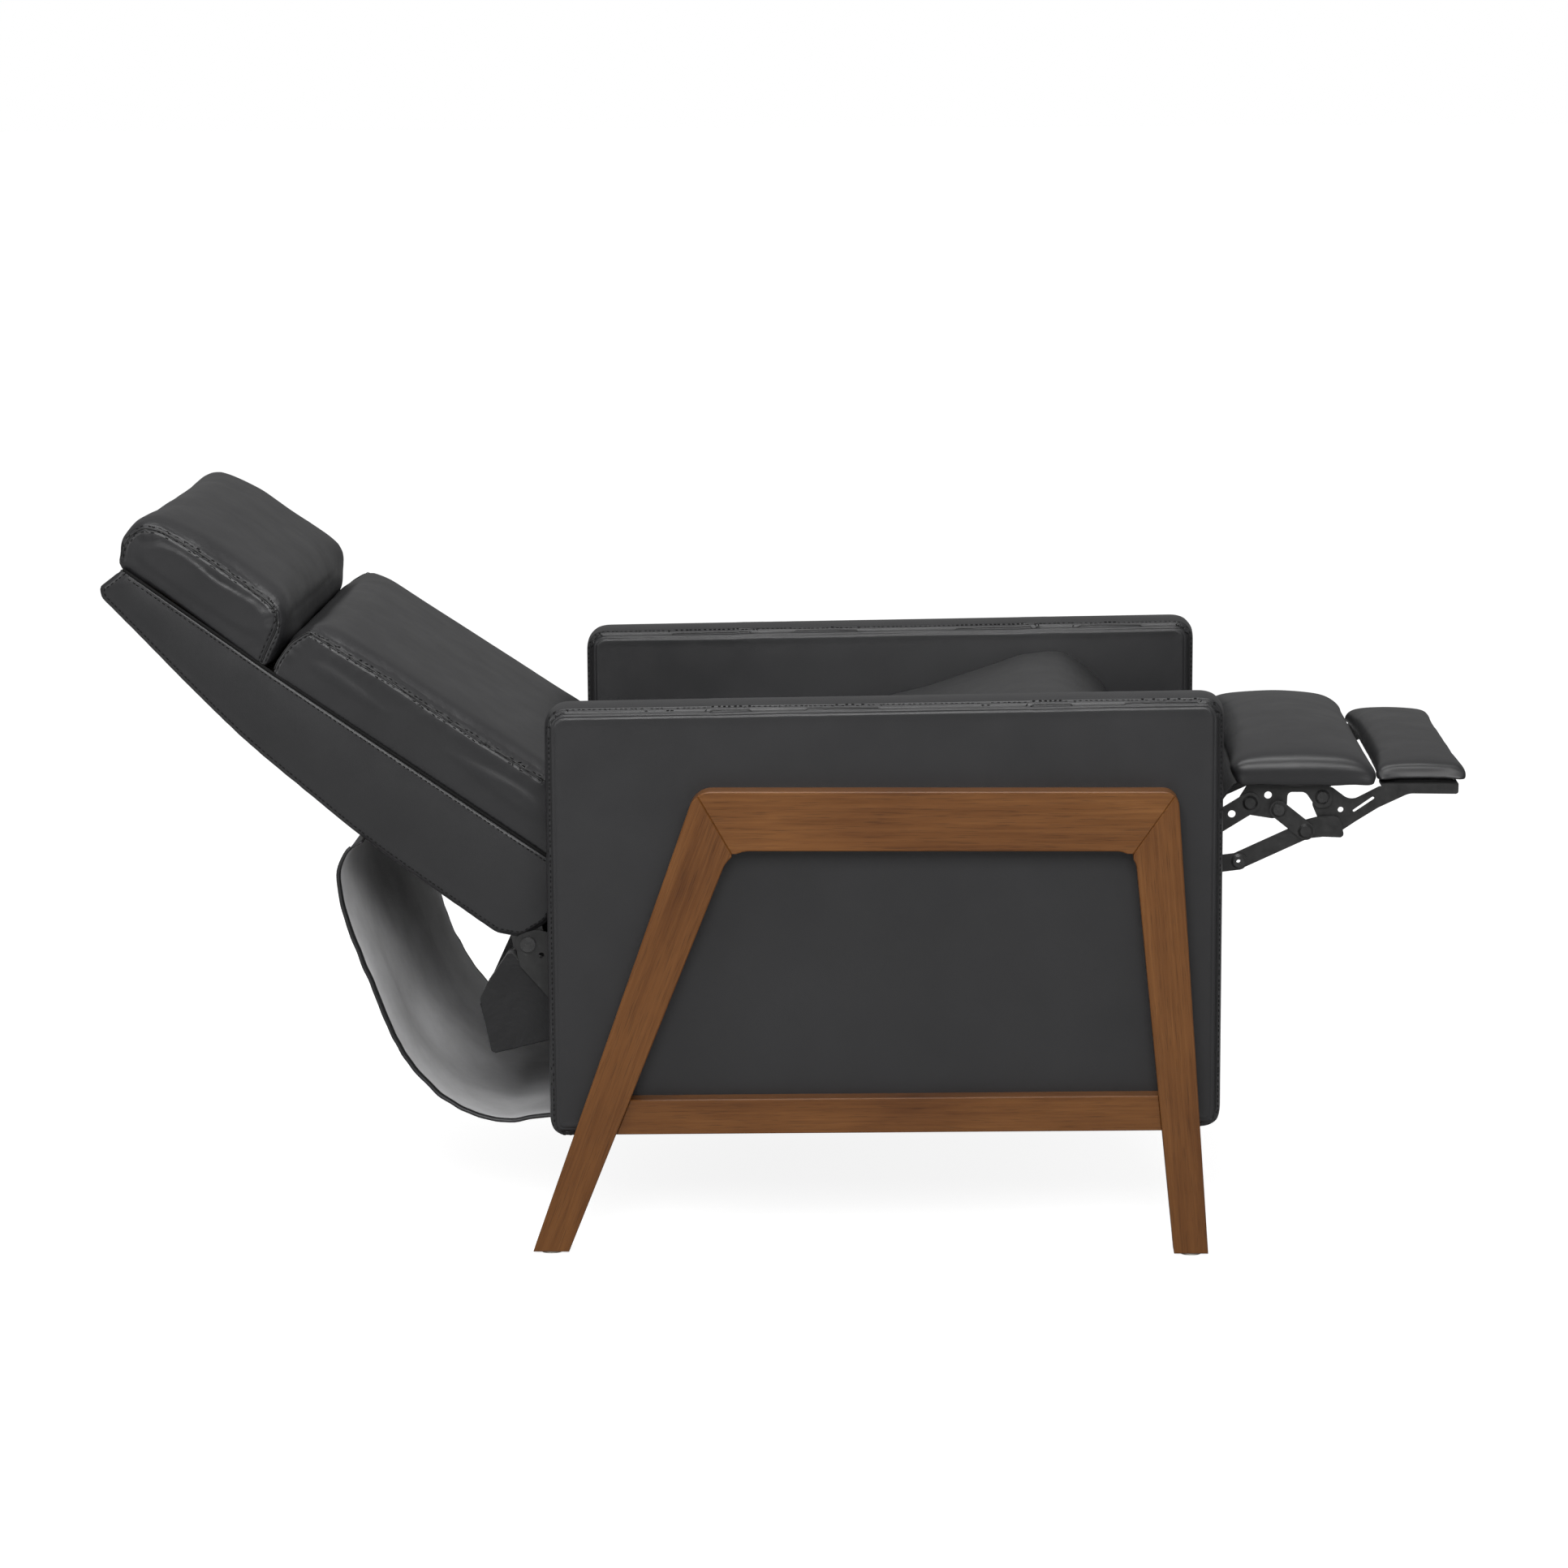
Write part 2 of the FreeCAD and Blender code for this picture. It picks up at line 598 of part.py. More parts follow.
def make_seat_box():
    ku, kw = pivot_on_seat()
    inner = SEAT_BOARD_OUTER - SEAT_BOARD
    ear = 1.6 * PIVOT_EYE
    side = (seat_at(0, 0, 4), seat_at(BOX_LENGTH, 0, 6), seat_at(BOX_LENGTH, BOX_HEIGHT, 6),
            seat_at(ku + 2 * ear, BOX_HEIGHT, 10), seat_at(ku + ear * 0.6, kw - ear, 8),
            seat_at(ku - ear * 0.6, kw - ear, 8), seat_at(ku - ear, kw - 2, 5),
            seat_at(15, BOX_HEIGHT, 12), seat_at(3, BOX_HEIGHT - 14, 10))
    board = prism(side, inner, SEAT_BOARD_OUTER)
    board = drilled(board, (TILT_PIVOT, PIVOT_RADIUS + PIN_FIT))
    left_and_right("seat_board", board)

    rear = prism((seat_at(4, 0), seat_at(4 + SEAT_RAIL, 0), seat_at(4 + SEAT_RAIL, BOX_HEIGHT - 12),
                  seat_at(4, BOX_HEIGHT - 16)), -inner, inner)
    NODES["seat_rear_rail"] = rear
    u0, u1 = FRONT_RAIL_U, FRONT_RAIL_U + SEAT_RAIL
    NODES["seat_front_rail"] = prism((seat_at(u0, FRONT_RAIL_W), seat_at(u1, FRONT_RAIL_W),
                                      seat_at(u1, BOX_HEIGHT), seat_at(u0, BOX_HEIGHT)), -inner, inner)

    plate = (seat_at(ku - PIVOT_EYE, kw + PIVOT_EYE, PIVOT_EYE * 0.95),
             seat_at(ku - PIVOT_EYE * 1.1, kw - PIVOT_EYE * 1.6, 8), seat_at(ku + 20, 18, 10),
             seat_at(ku + 110, 18, 10), seat_at(ku + 110, BOX_HEIGHT - 10, 14),
             seat_at(ku + PIVOT_EYE, kw + PIVOT_EYE, PIVOT_EYE * 0.95))
    plate = prism(plate, HINGE_PLATE_INNER, HINGE_PLATE_INNER + PLATE_STEEL)
    spare = (RECLINE_PIVOT[0] + 14, RECLINE_PIVOT[1] - 12)
    plate = drilled(plate, (RECLINE_PIVOT, PIVOT_RADIUS), (spare, SMALL_HOLE))
    NODES["seat_hinge_plates"] = both_sides(plate)

    outer = HINGE_PLATE_INNER + PLATE_STEEL
    post_inner = BACK_POST_OUTER - FIT
    bolt = rod(RECLINE_PIVOT, PIVOT_RADIUS, post_inner - PIVOT_NUT, outer)
    bolt = bolt.fuse(rod(RECLINE_PIVOT, PIVOT_HEAD_RADIUS, outer, outer + PIVOT_HEAD))
    bolt = bolt.fuse(rod(RECLINE_PIVOT, PIVOT_HEAD_RADIUS, post_inner - PIVOT_NUT, post_inner))
    NODES["recline_bolts"] = both_sides(bolt)


def spring_path():
    """One zigzag spring in the seat box frame: (u, y offset) of its bends."""
    start, end = 4 + SEAT_RAIL, FRONT_RAIL_U
    turns = int((end - start) / (2 * SPRING_BEND)) - 1
    lead = (end - start - turns * 2 * SPRING_BEND) / 2
    return start, lead, turns


def make_seat_springs():
    start, lead, turns = spring_path()
    end = FRONT_RAIL_U
    springs = []
    for row in SPRING_ROWS:
        edges = [Part.LineSegment(Vector(start, row, 0), Vector(start + lead, row, 0)).toShape()]
        u, side = start + lead, 1.0
        here = Vector(u, row, 0)
        for _ in range(turns):
            top = Vector(u, row + side * SPRING_REACH, 0)
            over = Vector(u + SPRING_BEND, row + side * (SPRING_REACH + SPRING_BEND), 0)
            down = Vector(u + 2 * SPRING_BEND, row + side * SPRING_REACH, 0)
            edges.append(Part.LineSegment(here, top).toShape())
            edges.append(Part.Arc(top, over, down).toShape())
            u += 2 * SPRING_BEND
            here = down
            side = -side
        foot = Vector(u, row, 0)
        edges.append(Part.LineSegment(here, foot).toShape())
        edges.append(Part.LineSegment(foot, Vector(end, row, 0)).toShape())
        flat = Part.Wire(edges)
        ring = Part.Wire(Part.makeCircle(SPRING_WIRE, Vector(start, row, 0), Vector(1, 0, 0)))
        springs.append(flat.makePipeShell([ring], True, True, 2))
    x, z, _ = seat_at(0, BOX_HEIGHT - SPRING_DROP)
    group = Part.makeCompound(springs)
    group.rotate(Vector(0, 0, 0), Vector(0, 1, 0), -SEAT_PITCH)
    group.translate(Vector(x, 0, z))
    NODES["seat_springs"] = group


def make_seat_cushion():
    ku, kw = pivot_on_seat()
    floor = BOX_HEIGHT + FIT

    def rear_u(w):
        return ku + math.sqrt(CUSHION_REAR_ARC ** 2 - (kw - w) ** 2)

    def corners_at(inset, rise):
        top = floor + CUSHION_THICKNESS + rise - inset
        nose = CUSHION_NOSE_U - inset * 0.6
        rear_top = rear_u(top) + inset
        return (seat_at(ku + CUSHION_REAR_ARC + inset, floor, 8),
                seat_at(BOX_LENGTH + 4, floor, 14),
                seat_at(nose - 2, floor + 26, 20), seat_at(nose, floor + 78, 34),
                seat_at(nose - 34, top + CUSHION_HUMP - 2, 38), seat_at(nose - 90, top + CUSHION_HUMP + 3, 90),
                seat_at(nose - 200, top, 160), seat_at(rear_top + 22, top - 2, 16),
                seat_at(rear_u(top - 40) + 10 + inset, top - 40, 30))

    cushion = crowned(corners_at, CUSHION_HALF_WIDTH, 22.0, 9.0, CUSHION_CROWN)
    tail = (seat_at(ku + 22, floor, 6), seat_at(ku + CUSHION_REAR_ARC + 30, floor),
            seat_at(ku + CUSHION_REAR_ARC + 30, floor + 54), seat_at(ku + CUSHION_REAR_ARC - 28, floor + 54, 20),
            seat_at(ku + 102, floor + 20, 30), seat_at(ku + 22, floor + 16, 8))
    tail = prism(tail, -CUSHION_TAIL_HALF_WIDTH, CUSHION_TAIL_HALF_WIDTH)
    NODES["seat_cushion"] = cushion.fuse(tail)
    inner = SEAT_BOARD_OUTER - 4
    sheet = prism((seat_at(6, -FIT), seat_at(COVER_FRONT_U, -FIT), seat_at(COVER_FRONT_U, -FIT - COVER_SHEET),
                   seat_at(6, -FIT - COVER_SHEET)), -inner, inner)
    NODES["dust_cover"] = sheet


# Back

def make_back_frame():
    wall = BACK_SHELL_WALL
    half = BACK_HALF_WIDTH

    def outline(inset, front):
        return (back_at(-4 + inset, 30 + inset * 0.4, 12), back_at(-4 + inset, BACK_DEPTH + front, 0),
                back_at(BACK_BEND_S, BACK_DEPTH + BACK_RIM_RISE + front, 0),
                back_at(BACK_LENGTH - 5 - inset, BACK_TOP_DEPTH + front, 0),
                back_at(BACK_LENGTH - inset, BACK_TOP_N + 6 + inset * 0.6, 4),
                back_at(BACK_LENGTH - 8 - inset, BACK_TOP_N - 3 + inset, 8),
                back_at(BACK_BEND_S, BACK_BEND_N + inset, 260), back_at(BACK_BEND_S * 0.5, 0.5 + inset, 500),
                back_at(34 + inset * 0.4, -6 + inset, 14), back_at(9 + inset, 5 + inset, 12))

    shell = prism(outline(0, 0), -half, half)
    shell = shell.cut(prism(outline(wall, 3 * wall), -half + wall, half - wall))
    slot = prism((back_at(-10, -12), back_at(40, -12), back_at(40, BACK_DEPTH + 5), back_at(-10, BACK_DEPTH + 5)),
                 BACK_POST_OUTER - 0.6, half - wall)
    shell = shell.cut(slot).cut(mirrored(slot))
    NODES["back_shell"] = shell

    y0, y1 = BACK_POST_OUTER - BACK_POST, BACK_POST_OUTER
    rear = wall + 1.2
    front = BACK_DEPTH - 8
    post = (back_at(6, 34, 6), back_at(6, front), back_at(BACK_LENGTH - 18, front + 8),
            back_at(BACK_LENGTH - 18, BACK_TOP_N + rear, 4), back_at(BACK_BEND_S, BACK_BEND_N + rear + 1, 200),
            back_at(BACK_BEND_S * 0.5, rear + 2, 300), back_at(40, rear, 10))
    post = prism(post, y0, y1)
    left_and_right("back_post", post)
    width = BACK_RAIL_WIDTH
    top_s = BACK_LENGTH - 18 - width
    NODES["back_top_rail"] = prism((back_at(top_s, BACK_TOP_N + rear + 2), back_at(top_s + width, BACK_TOP_N + rear + 2),
                                    back_at(top_s + width, front + 8), back_at(top_s, front + 7)), -y0, y0)
    NODES["back_lower_rail"] = prism((back_at(10, 38), back_at(10 + width, 38), back_at(10 + width, front),
                                      back_at(10, front)), -y0, y0)
    straps = []
    for s in STRAP_PLACES:
        n0 = front + 8 * (s - 6) / (BACK_LENGTH - 24)
        n1 = front + 8 * (s + STRAP_WIDTH - 6) / (BACK_LENGTH - 24)
        straps.append(prism((back_at(s, n0), back_at(s + STRAP_WIDTH, n1), back_at(s + STRAP_WIDTH, n1 + STRAP_THICKNESS),
                             back_at(s, n0 + STRAP_THICKNESS)), -y1, y1))
    NODES["back_webbing"] = Part.makeCompound(straps)

    eye = PIVOT_EYE
    bracket = (back_at(-eye, -eye, eye * 0.95), back_at(10, -eye, 8), back_at(44, 22, 10), back_at(120, 26, 8),
               back_at(120, 56, 8), back_at(30, 56, 10), back_at(-eye, eye, eye * 0.95))
    bracket = prism(bracket, y1, BACK_BRACKET_OUTER)
    bracket = drilled(bracket, (RECLINE_PIVOT, PIVOT_RADIUS + PIN_FIT))
    NODES["back_brackets"] = both_sides(bracket)
    return outline


def deck_n(s):
    """Height of the back shell's rim, which the back cushions lie on."""
    if s < BACK_BEND_S:
        return BACK_DEPTH + BACK_RIM_RISE * (s + 4) / (BACK_BEND_S + 4)
    share = (s - BACK_BEND_S) / (BACK_LENGTH - 5 - BACK_BEND_S)
    return BACK_DEPTH + BACK_RIM_RISE + (BACK_TOP_DEPTH - BACK_DEPTH - BACK_RIM_RISE) * share


def make_back_cushions():
    def lumbar_at(inset, rise):
        front = LUMBAR_FRONT + rise - inset
        low, high = LUMBAR_BOTTOM + inset, LUMBAR_TOP - CREASE_GAP / 2 - inset
        return (back_at(low, deck_n(low) + FIT, 6), back_at(low, front - 8, 20),
                back_at(LUMBAR_BOTTOM + 60, front - 1, 60), back_at(high - 40, front, 60),
                back_at(high - 7, front - 2, 16), back_at(high - 3, deck_n(high) + FIT, 8))

    def headrest_at(inset, rise):
        front = HEADREST_FRONT + rise - inset
        bottom = LUMBAR_TOP + CREASE_GAP / 2 + inset
        top = HEADREST_TOP - inset
        return (back_at(bottom + 2, deck_n(bottom) + FIT, 6), back_at(bottom + 11, front - 2, 24),
                back_at(top - 70, front + 2, 90), back_at(top - 4, front - 4, 26),
                back_at(top, front - 40, 16), back_at(top - 12, deck_n(top - 12) + FIT, 6))

    half = BACK_CUSHION_HALF_WIDTH
    lumbar = crowned(lumbar_at, half, 24.0, 7.0, BACK_CUSHION_CROWN)
    headrest = crowned(headrest_at, half, 22.0, 7.0, BACK_CUSHION_CROWN)
    NODES["lumbar_cushion"] = lumbar
    NODES["headrest_cushion"] = headrest


# Footrest linkage

LINK_PIVOT = seat_at(LINK_PIVOT_U, LINK_PIVOT_W)[:2]
LINK_TIP = turned(LINK_PIVOT, LOWER_LINK_LENGTH, 0, LOWER_LINK_SLOPE)
CROSSING = turned(LINK_PIVOT, LOWER_LINK_LENGTH - CROSSING_BACK, 0, LOWER_LINK_SLOPE)
PAD_PIVOT = turned(CROSSING, UPPER_LINK_CHORD, 0, UPPER_LINK_CHORD_SLOPE)


def pad_at(dx, dz, radius=0.0):
    return (PAD_PIVOT[0] + dx, PAD_PIVOT[1] + dz, radius)


ROCKER = pad_at(*ROCKER_PIVOT)[:2]
ELBOW = pad_at(*ELBOW_PIVOT)[:2]
HINGE = pad_at(*FLIPPER_HINGE)[:2]


def flip_at(dx, dz, radius=0.0):
    return (HINGE[0] + dx, HINGE[1] + dz, radius)


DRIVE_END = flip_at(*FLIPPER_DRIVE)[:2]


def make_links():
    running = RIVET_RADIUS + PIN_FIT
    t = PLATE_STEEL
    half = LINK_HALF_WIDTH
    mount_w = LINK_PIVOT_W
    mount = prism((seat_at(LINK_PIVOT_U - 90, mount_w - 14, 8), seat_at(LINK_PIVOT_U + 14, mount_w - 14, 12),
                   seat_at(LINK_PIVOT_U + 14, mount_w + 14, 12), seat_at(LINK_PIVOT_U - 90, mount_w + 14, 8)),
                  LAYER_MOUNT, SEAT_BOARD_OUTER - SEAT_BOARD)
    mount = drilled(mount, (LINK_PIVOT, running))
    NODES["link_mounts"] = both_sides(mount)

    lower = capsule(LINK_PIVOT, LINK_TIP, half - 2, LAYER_LOWER)
    lower = drilled(lower, (LINK_PIVOT, RIVET_RADIUS), (CROSSING, RIVET_RADIUS), (LINK_TIP, RIVET_RADIUS))
    NODES["lower_links"] = both_sides(lower)
    pivot_rivet = rivet(LINK_PIVOT, LAYER_LOWER, SEAT_BOARD_OUTER - SEAT_BOARD - FIT)
    crossing_rivet = rivet(CROSSING, LAYER_LOWER + t, LAYER_UPPER)
    washer = rod(CROSSING, WASHER_RADIUS, LAYER_UPPER + t, LAYER_LOWER)
    crossing_rivet = crossing_rivet.fuse(washer)
    tip_rivet = rivet(LINK_TIP, LAYER_LOWER + t, LAYER_DRIVE)
    tip_rivet = tip_rivet.cut(rod(LINK_TIP, SMALL_HOLE * 0.8, LAYER_DRIVE, ARM_OUTER))
    NODES["lower_link_rivets"] = both_sides(pivot_rivet, crossing_rivet, tip_rivet)

    elbow = turned(PAD_PIVOT, -UPPER_LINK_ARM, 0, UPPER_LINK_SLOPE)
    low = half - 0.5
    upper = (turned(PAD_PIVOT, half, half, UPPER_LINK_SLOPE) + (half * 0.95,),
             turned(elbow, -6, half, UPPER_LINK_SLOPE) + (12,),
             (CROSSING[0] - low, CROSSING[1] + 6, 6), (CROSSING[0] - low, CROSSING[1] - low, low * 0.95),
             (CROSSING[0] + low, CROSSING[1] - low, low * 0.95), (CROSSING[0] + low, CROSSING[1] + 16, 8),
             turned(elbow, 16, -half, UPPER_LINK_SLOPE) + (14,),
             turned(PAD_PIVOT, half, -half, UPPER_LINK_SLOPE) + (half * 0.95,))
    upper = prism(upper, LAYER_UPPER, LAYER_UPPER + t)
    spare = turned(PAD_PIVOT, -22.5, 0, UPPER_LINK_SLOPE)
    upper = drilled(upper, (PAD_PIVOT, RIVET_RADIUS), (CROSSING, running), (spare, LIGHTENING_HOLE))
    NODES["upper_links"] = both_sides(upper, rivet(PAD_PIVOT, LAYER_UPPER + t, LAYER_BRACKET))

    drive = drilled(capsule(LINK_TIP, ELBOW, half - 2, LAYER_DRIVE), (LINK_TIP, running), (ELBOW, running))
    NODES["drive_links"] = both_sides(drive)
    rocker = drilled(capsule(ROCKER, ELBOW, half - 1.5, LAYER_LOWER), (ROCKER, running), (ELBOW, RIVET_RADIUS))
    elbow_rivet = rivet(ELBOW, LAYER_LOWER + t, LAYER_LOWER)
    NODES["rocker_links"] = both_sides(rocker, elbow_rivet)
    crank = (turned(ELBOW, -10, -9, 8) + (8.5,), turned(ELBOW, 18, -10, 8) + (10,),
             turned(ELBOW, 40, -14, 8) + (4,), turned(ELBOW, 38, 10, 8) + (8.5,),
             turned(ELBOW, 14, 12, 8) + (10,), turned(ELBOW, -10, 9, 8) + (8.5,))
    crank = prism(crank, LAYER_UPPER, LAYER_UPPER + t)
    crank = drilled(crank, (ELBOW, running), (DRIVE_END, RIVET_RADIUS))
    NODES["flipper_links"] = both_sides(crank, rivet(DRIVE_END, LAYER_FLIPPER, LAYER_UPPER + t))


def make_brackets():
    running = RIVET_RADIUS + PIN_FIT
    t = PLATE_STEEL
    y = LAYER_BRACKET
    top = BRACKET_TOP
    fx, fz = FLIPPER_HINGE
    rx, rz = ROCKER_PIVOT
    corners = (pad_at(-4, top), pad_at(-12, 4, 8), pad_at(-9, -12, 10), pad_at(rx - 6, rz - 11, 9),
               pad_at(rx + 9, rz - 9, 8), pad_at(rx + 10, top - 6, 5), pad_at(fx - 18, top - 6, 8),
               pad_at(fx - 6, fz - 12, 7), pad_at(fx + 11, fz - 11, 9), pad_at(fx + 9, top, 3))
    plate = prism(corners, y, y + t)
    flange = block(pad_at(-4, 0)[0], pad_at(fx + 9, 0)[0], y + t - FLANGE_WIDTH, y + t,
                   pad_at(0, top)[1], pad_at(0, top)[1] + t)
    web = block(pad_at(0, 0)[0], pad_at(fx, 0)[0], y, y + t, pad_at(0, top - 3)[1], pad_at(0, top)[1])
    bracket = plate.fuse([web, flange]).removeSplitter()
    bracket = drilled(bracket, (PAD_PIVOT, running), (ROCKER, RIVET_RADIUS), (HINGE, RIVET_RADIUS),
                      (pad_at(19.1, 7.6)[:2], LIGHTENING_HOLE))
    NODES["footrest_brackets"] = both_sides(bracket)
    rocker_rivet = rivet(ROCKER, LAYER_LOWER + t, LAYER_BRACKET)
    spacer = rod(ROCKER, WASHER_RADIUS, LAYER_BRACKET + t, LAYER_LOWER)
    hinge_rivet = rivet(HINGE, LAYER_BRACKET + t, LAYER_FLIPPER)
    NODES["bracket_rivets"] = both_sides(rocker_rivet.fuse(spacer), hinge_rivet)

    y = LAYER_FLIPPER
    lift, end = FLIPPER_FLANGE, FLIPPER_BRACKET_END
    keel = lift + t - FLIPPER_BRACKET_DEPTH
    corners = (flip_at(-10, 10, 9), flip_at(-10, -10, 9), flip_at(2, -38, 8), flip_at(19, -38, 9),
               flip_at(35, -27, 12), flip_at(59, -12, 20), flip_at(91, keel + 0.5, 20), flip_at(end, keel, 3),
               flip_at(end, lift), flip_at(60, lift, 6), flip_at(30, -5, 14), flip_at(10, 10, 8))
    arm = prism(corners, y, y + t)
    flange = block(flip_at(62, 0)[0], flip_at(end, 0)[0], y + t - FLIPPER_FLANGE_WIDTH, y + t,
                   flip_at(0, lift)[1], flip_at(0, lift)[1] + t)
    slot = prism((flip_at(31, -15.5, 1.4), flip_at(34, -17, 1.4), flip_at(56, -2, 1.4), flip_at(53, 0, 1.4)),
                 y, y + t)
    arm = arm.fuse(flange).removeSplitter().cut(slot)
    arm = drilled(arm, (HINGE, running), (DRIVE_END, running), (flip_at(19.6, -14.2)[:2], SMALL_HOLE))
    NODES["flipper_brackets"] = both_sides(arm)


def make_pads():
    seat_z = BRACKET_TOP + PLATE_STEEL
    rear, front = PAD_REAR + PAD_BORDER, PAD_FRONT - PAD_BORDER

    def board(at, x0, x1, z0, board_half, grow):
        return prism((at(x0 - grow, z0 - grow), at(x1 + grow, z0 - grow), at(x1 + grow, z0 + BOARD_THICKNESS + grow),
                      at(x0 - grow, z0 + BOARD_THICKNESS + grow)), -board_half - grow, board_half + grow)

    def pad_corners(inset, rise):
        top = PAD_TOP + rise - inset * 0.6
        return (pad_at(PAD_REAR + inset + 3, PAD_BOTTOM, 5), pad_at(PAD_FRONT - inset, PAD_BOTTOM, 5),
                pad_at(PAD_FRONT - inset + 2, PAD_BOTTOM + 11, 9), pad_at(PAD_FRONT - inset - 17, top - 2, 22),
                pad_at((PAD_REAR + PAD_FRONT) / 2, top + 1, 160), pad_at(PAD_REAR + inset, top - 1, 14),
                pad_at(PAD_REAR + inset - 5, (PAD_BOTTOM + top) / 2, 12))

    def flipper_corners(inset, rise):
        top = FLIPPER_PAD_TOP + rise - inset * 0.5
        rear, front = FLIPPER_PAD_REAR + inset, FLIPPER_PAD_FRONT - inset
        return (flip_at(rear + 2, FLIPPER_PAD_BOTTOM, 3), flip_at(front - 3, FLIPPER_PAD_BOTTOM, 3),
                flip_at(front, FLIPPER_PAD_BOTTOM + 7, 5), flip_at(front - 8, top - 1, 7),
                flip_at((rear + front) / 2, top + 1, 110), flip_at(rear + 8, top, 8),
                flip_at(rear, FLIPPER_PAD_BOTTOM + 7, 5))

    NODES["footrest_board"] = board(pad_at, rear, front, seat_z, BOARD_HALF_WIDTH, 0)
    pad = crowned(pad_corners, PAD_HALF_WIDTH, 16.0, 6.0, PAD_CROWN)
    pad = pad.cut(board(pad_at, rear, front, seat_z, BOARD_HALF_WIDTH, FIT))
    NODES["footrest_pad"] = pad

    lift = FLIPPER_FLANGE + PLATE_STEEL
    x0, x1 = FLIPPER_PAD_REAR + 8, FLIPPER_PAD_FRONT - 9
    half = FLIPPER_HALF_WIDTH - FLIPPER_BOARD_EDGE
    NODES["flipper_board"] = board(flip_at, x0, x1, lift, half, 0)
    pad = crowned(flipper_corners, FLIPPER_HALF_WIDTH, 14.0, 5.0, FLIPPER_CROWN)
    pad = pad.cut(board(flip_at, x0, x1, lift, half, FIT))
    NODES["flipper_pad"] = pad


# Hanging cloth

def draped(path_at, half_width, thickness, sways):
    """A sheet with soft folds: its bulge changes from one side to the other."""
    wires = []
    count = len(sways) - 1
    for i, sway in enumerate(sways):
        y = -half_width + 2 * half_width * i / count
        wires.append(rounded_wire(strip_corners(path_at(sway), thickness), y))
    return Part.makeLoft(wires, True, False)


def make_cloth():
    top = back_at(206, -1.5)
    tail_x = REAR_CROSS_X + 14
    tail_z = max(CROSS_RAIL_BOTTOM, arm_at(REAR_CROSS_X - ARM_REAR, 0)[1]) - FIT - SKIRT_SHEET

    def skirt_at(sway):
        return ((top[0], top[1], 0), (top[0] - 26 + sway * 0.5, top[1] - 44, 40),
                (top[0] + 12 + sway, top[1] - 152, 200), (top[0] + 40 + sway * 0.7, top[1] - 265, 110),
                (REAR_CROSS_X - 92, tail_z - 8 + sway * 0.3, 90), (REAR_CROSS_X - 12, tail_z, 20),
                (tail_x, tail_z, 0))

    NODES["rear_skirt"] = draped(skirt_at, SKIRT_HALF_WIDTH, SKIRT_SHEET, (0, 7, -2, 9, 1, 10, 3))

    under_board = BRACKET_TOP + PLATE_STEEL - FIT
    pad_edge = pad_at(14, under_board)
    fold = pad_at(PAD_REAR, under_board)
    root = seat_at(FRONT_RAIL_U + SEAT_RAIL + FIT + FLAP_SHEET, FRONT_RAIL_W + 4)

    def flap_at(sway):
        return ((pad_edge[0], pad_edge[1], 0), (fold[0], fold[1], 5), (fold[0] - 18, fold[1] - 30, 30),
                (fold[0] - 68, fold[1] - 94 + sway, 34), (root[0] + 14, root[1] - 32 + sway, 20),
                (root[0] + 2, root[1] + 20, 0))

    NODES["footrest_flap"] = draped(flap_at, FLAP_HALF_WIDTH, FLAP_SHEET, (0, 3, -1, 4, 0))


def build():
    make_arms()
    make_side_frames()
    make_fasteners()
    make_base_rails()
    make_carriage()
    make_seat_box()
    make_seat_springs()
    make_seat_cushion()
    make_back_frame()
    make_back_cushions()
    make_links()
    make_brackets()
    make_pads()
    make_cloth()


build()
WHOLE = Part.makeCompound(list(NODES.values())).optimalBoundingBox(False)
CENTRE_X = (WHOLE.XMin + WHOLE.XMax) / 2
print("centre x", round(CENTRE_X, 3), "length", round(WHOLE.XLength, 2), "width", round(WHOLE.YLength, 2),
      "height", round(WHOLE.ZLength, 2), "floor", round(WHOLE.ZMin, 3), "nodes", len(NODES))

os.makedirs("parts", exist_ok=True)
for node, shape in NODES.items():
    shape.translate(Vector(-CENTRE_X, 0, 0))
    shape.exportStep(os.path.join("parts", node + ".step"))
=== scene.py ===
import math

import bmesh
import bpy
import numpy as np
from mathutils import Matrix, Vector, noise
from mathutils.bvhtree import BVHTree
from mathutils.kdtree import KDTree


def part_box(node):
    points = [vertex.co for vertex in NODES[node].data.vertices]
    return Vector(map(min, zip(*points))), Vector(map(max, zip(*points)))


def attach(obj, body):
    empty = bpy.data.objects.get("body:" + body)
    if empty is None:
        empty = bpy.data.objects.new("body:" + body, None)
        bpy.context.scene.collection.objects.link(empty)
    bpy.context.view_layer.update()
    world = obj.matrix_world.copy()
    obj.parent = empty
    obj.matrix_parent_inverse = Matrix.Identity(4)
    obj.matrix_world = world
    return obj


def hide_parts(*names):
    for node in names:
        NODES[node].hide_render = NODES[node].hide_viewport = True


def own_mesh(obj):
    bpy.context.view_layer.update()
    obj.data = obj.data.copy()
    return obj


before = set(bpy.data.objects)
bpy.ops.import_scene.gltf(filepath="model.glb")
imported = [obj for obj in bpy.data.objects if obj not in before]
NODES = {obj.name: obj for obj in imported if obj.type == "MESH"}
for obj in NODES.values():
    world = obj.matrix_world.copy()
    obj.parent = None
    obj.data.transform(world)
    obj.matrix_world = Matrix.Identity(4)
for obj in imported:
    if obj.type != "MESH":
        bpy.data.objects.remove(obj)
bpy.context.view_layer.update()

MM = 0.001

# Side-view places are (x, z) in millimetres, measured with the arms' rear ends at x = -408.
ARM_REAR = -408.0
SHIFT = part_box("right_arm_cover")[0][0] - ARM_REAR * MM

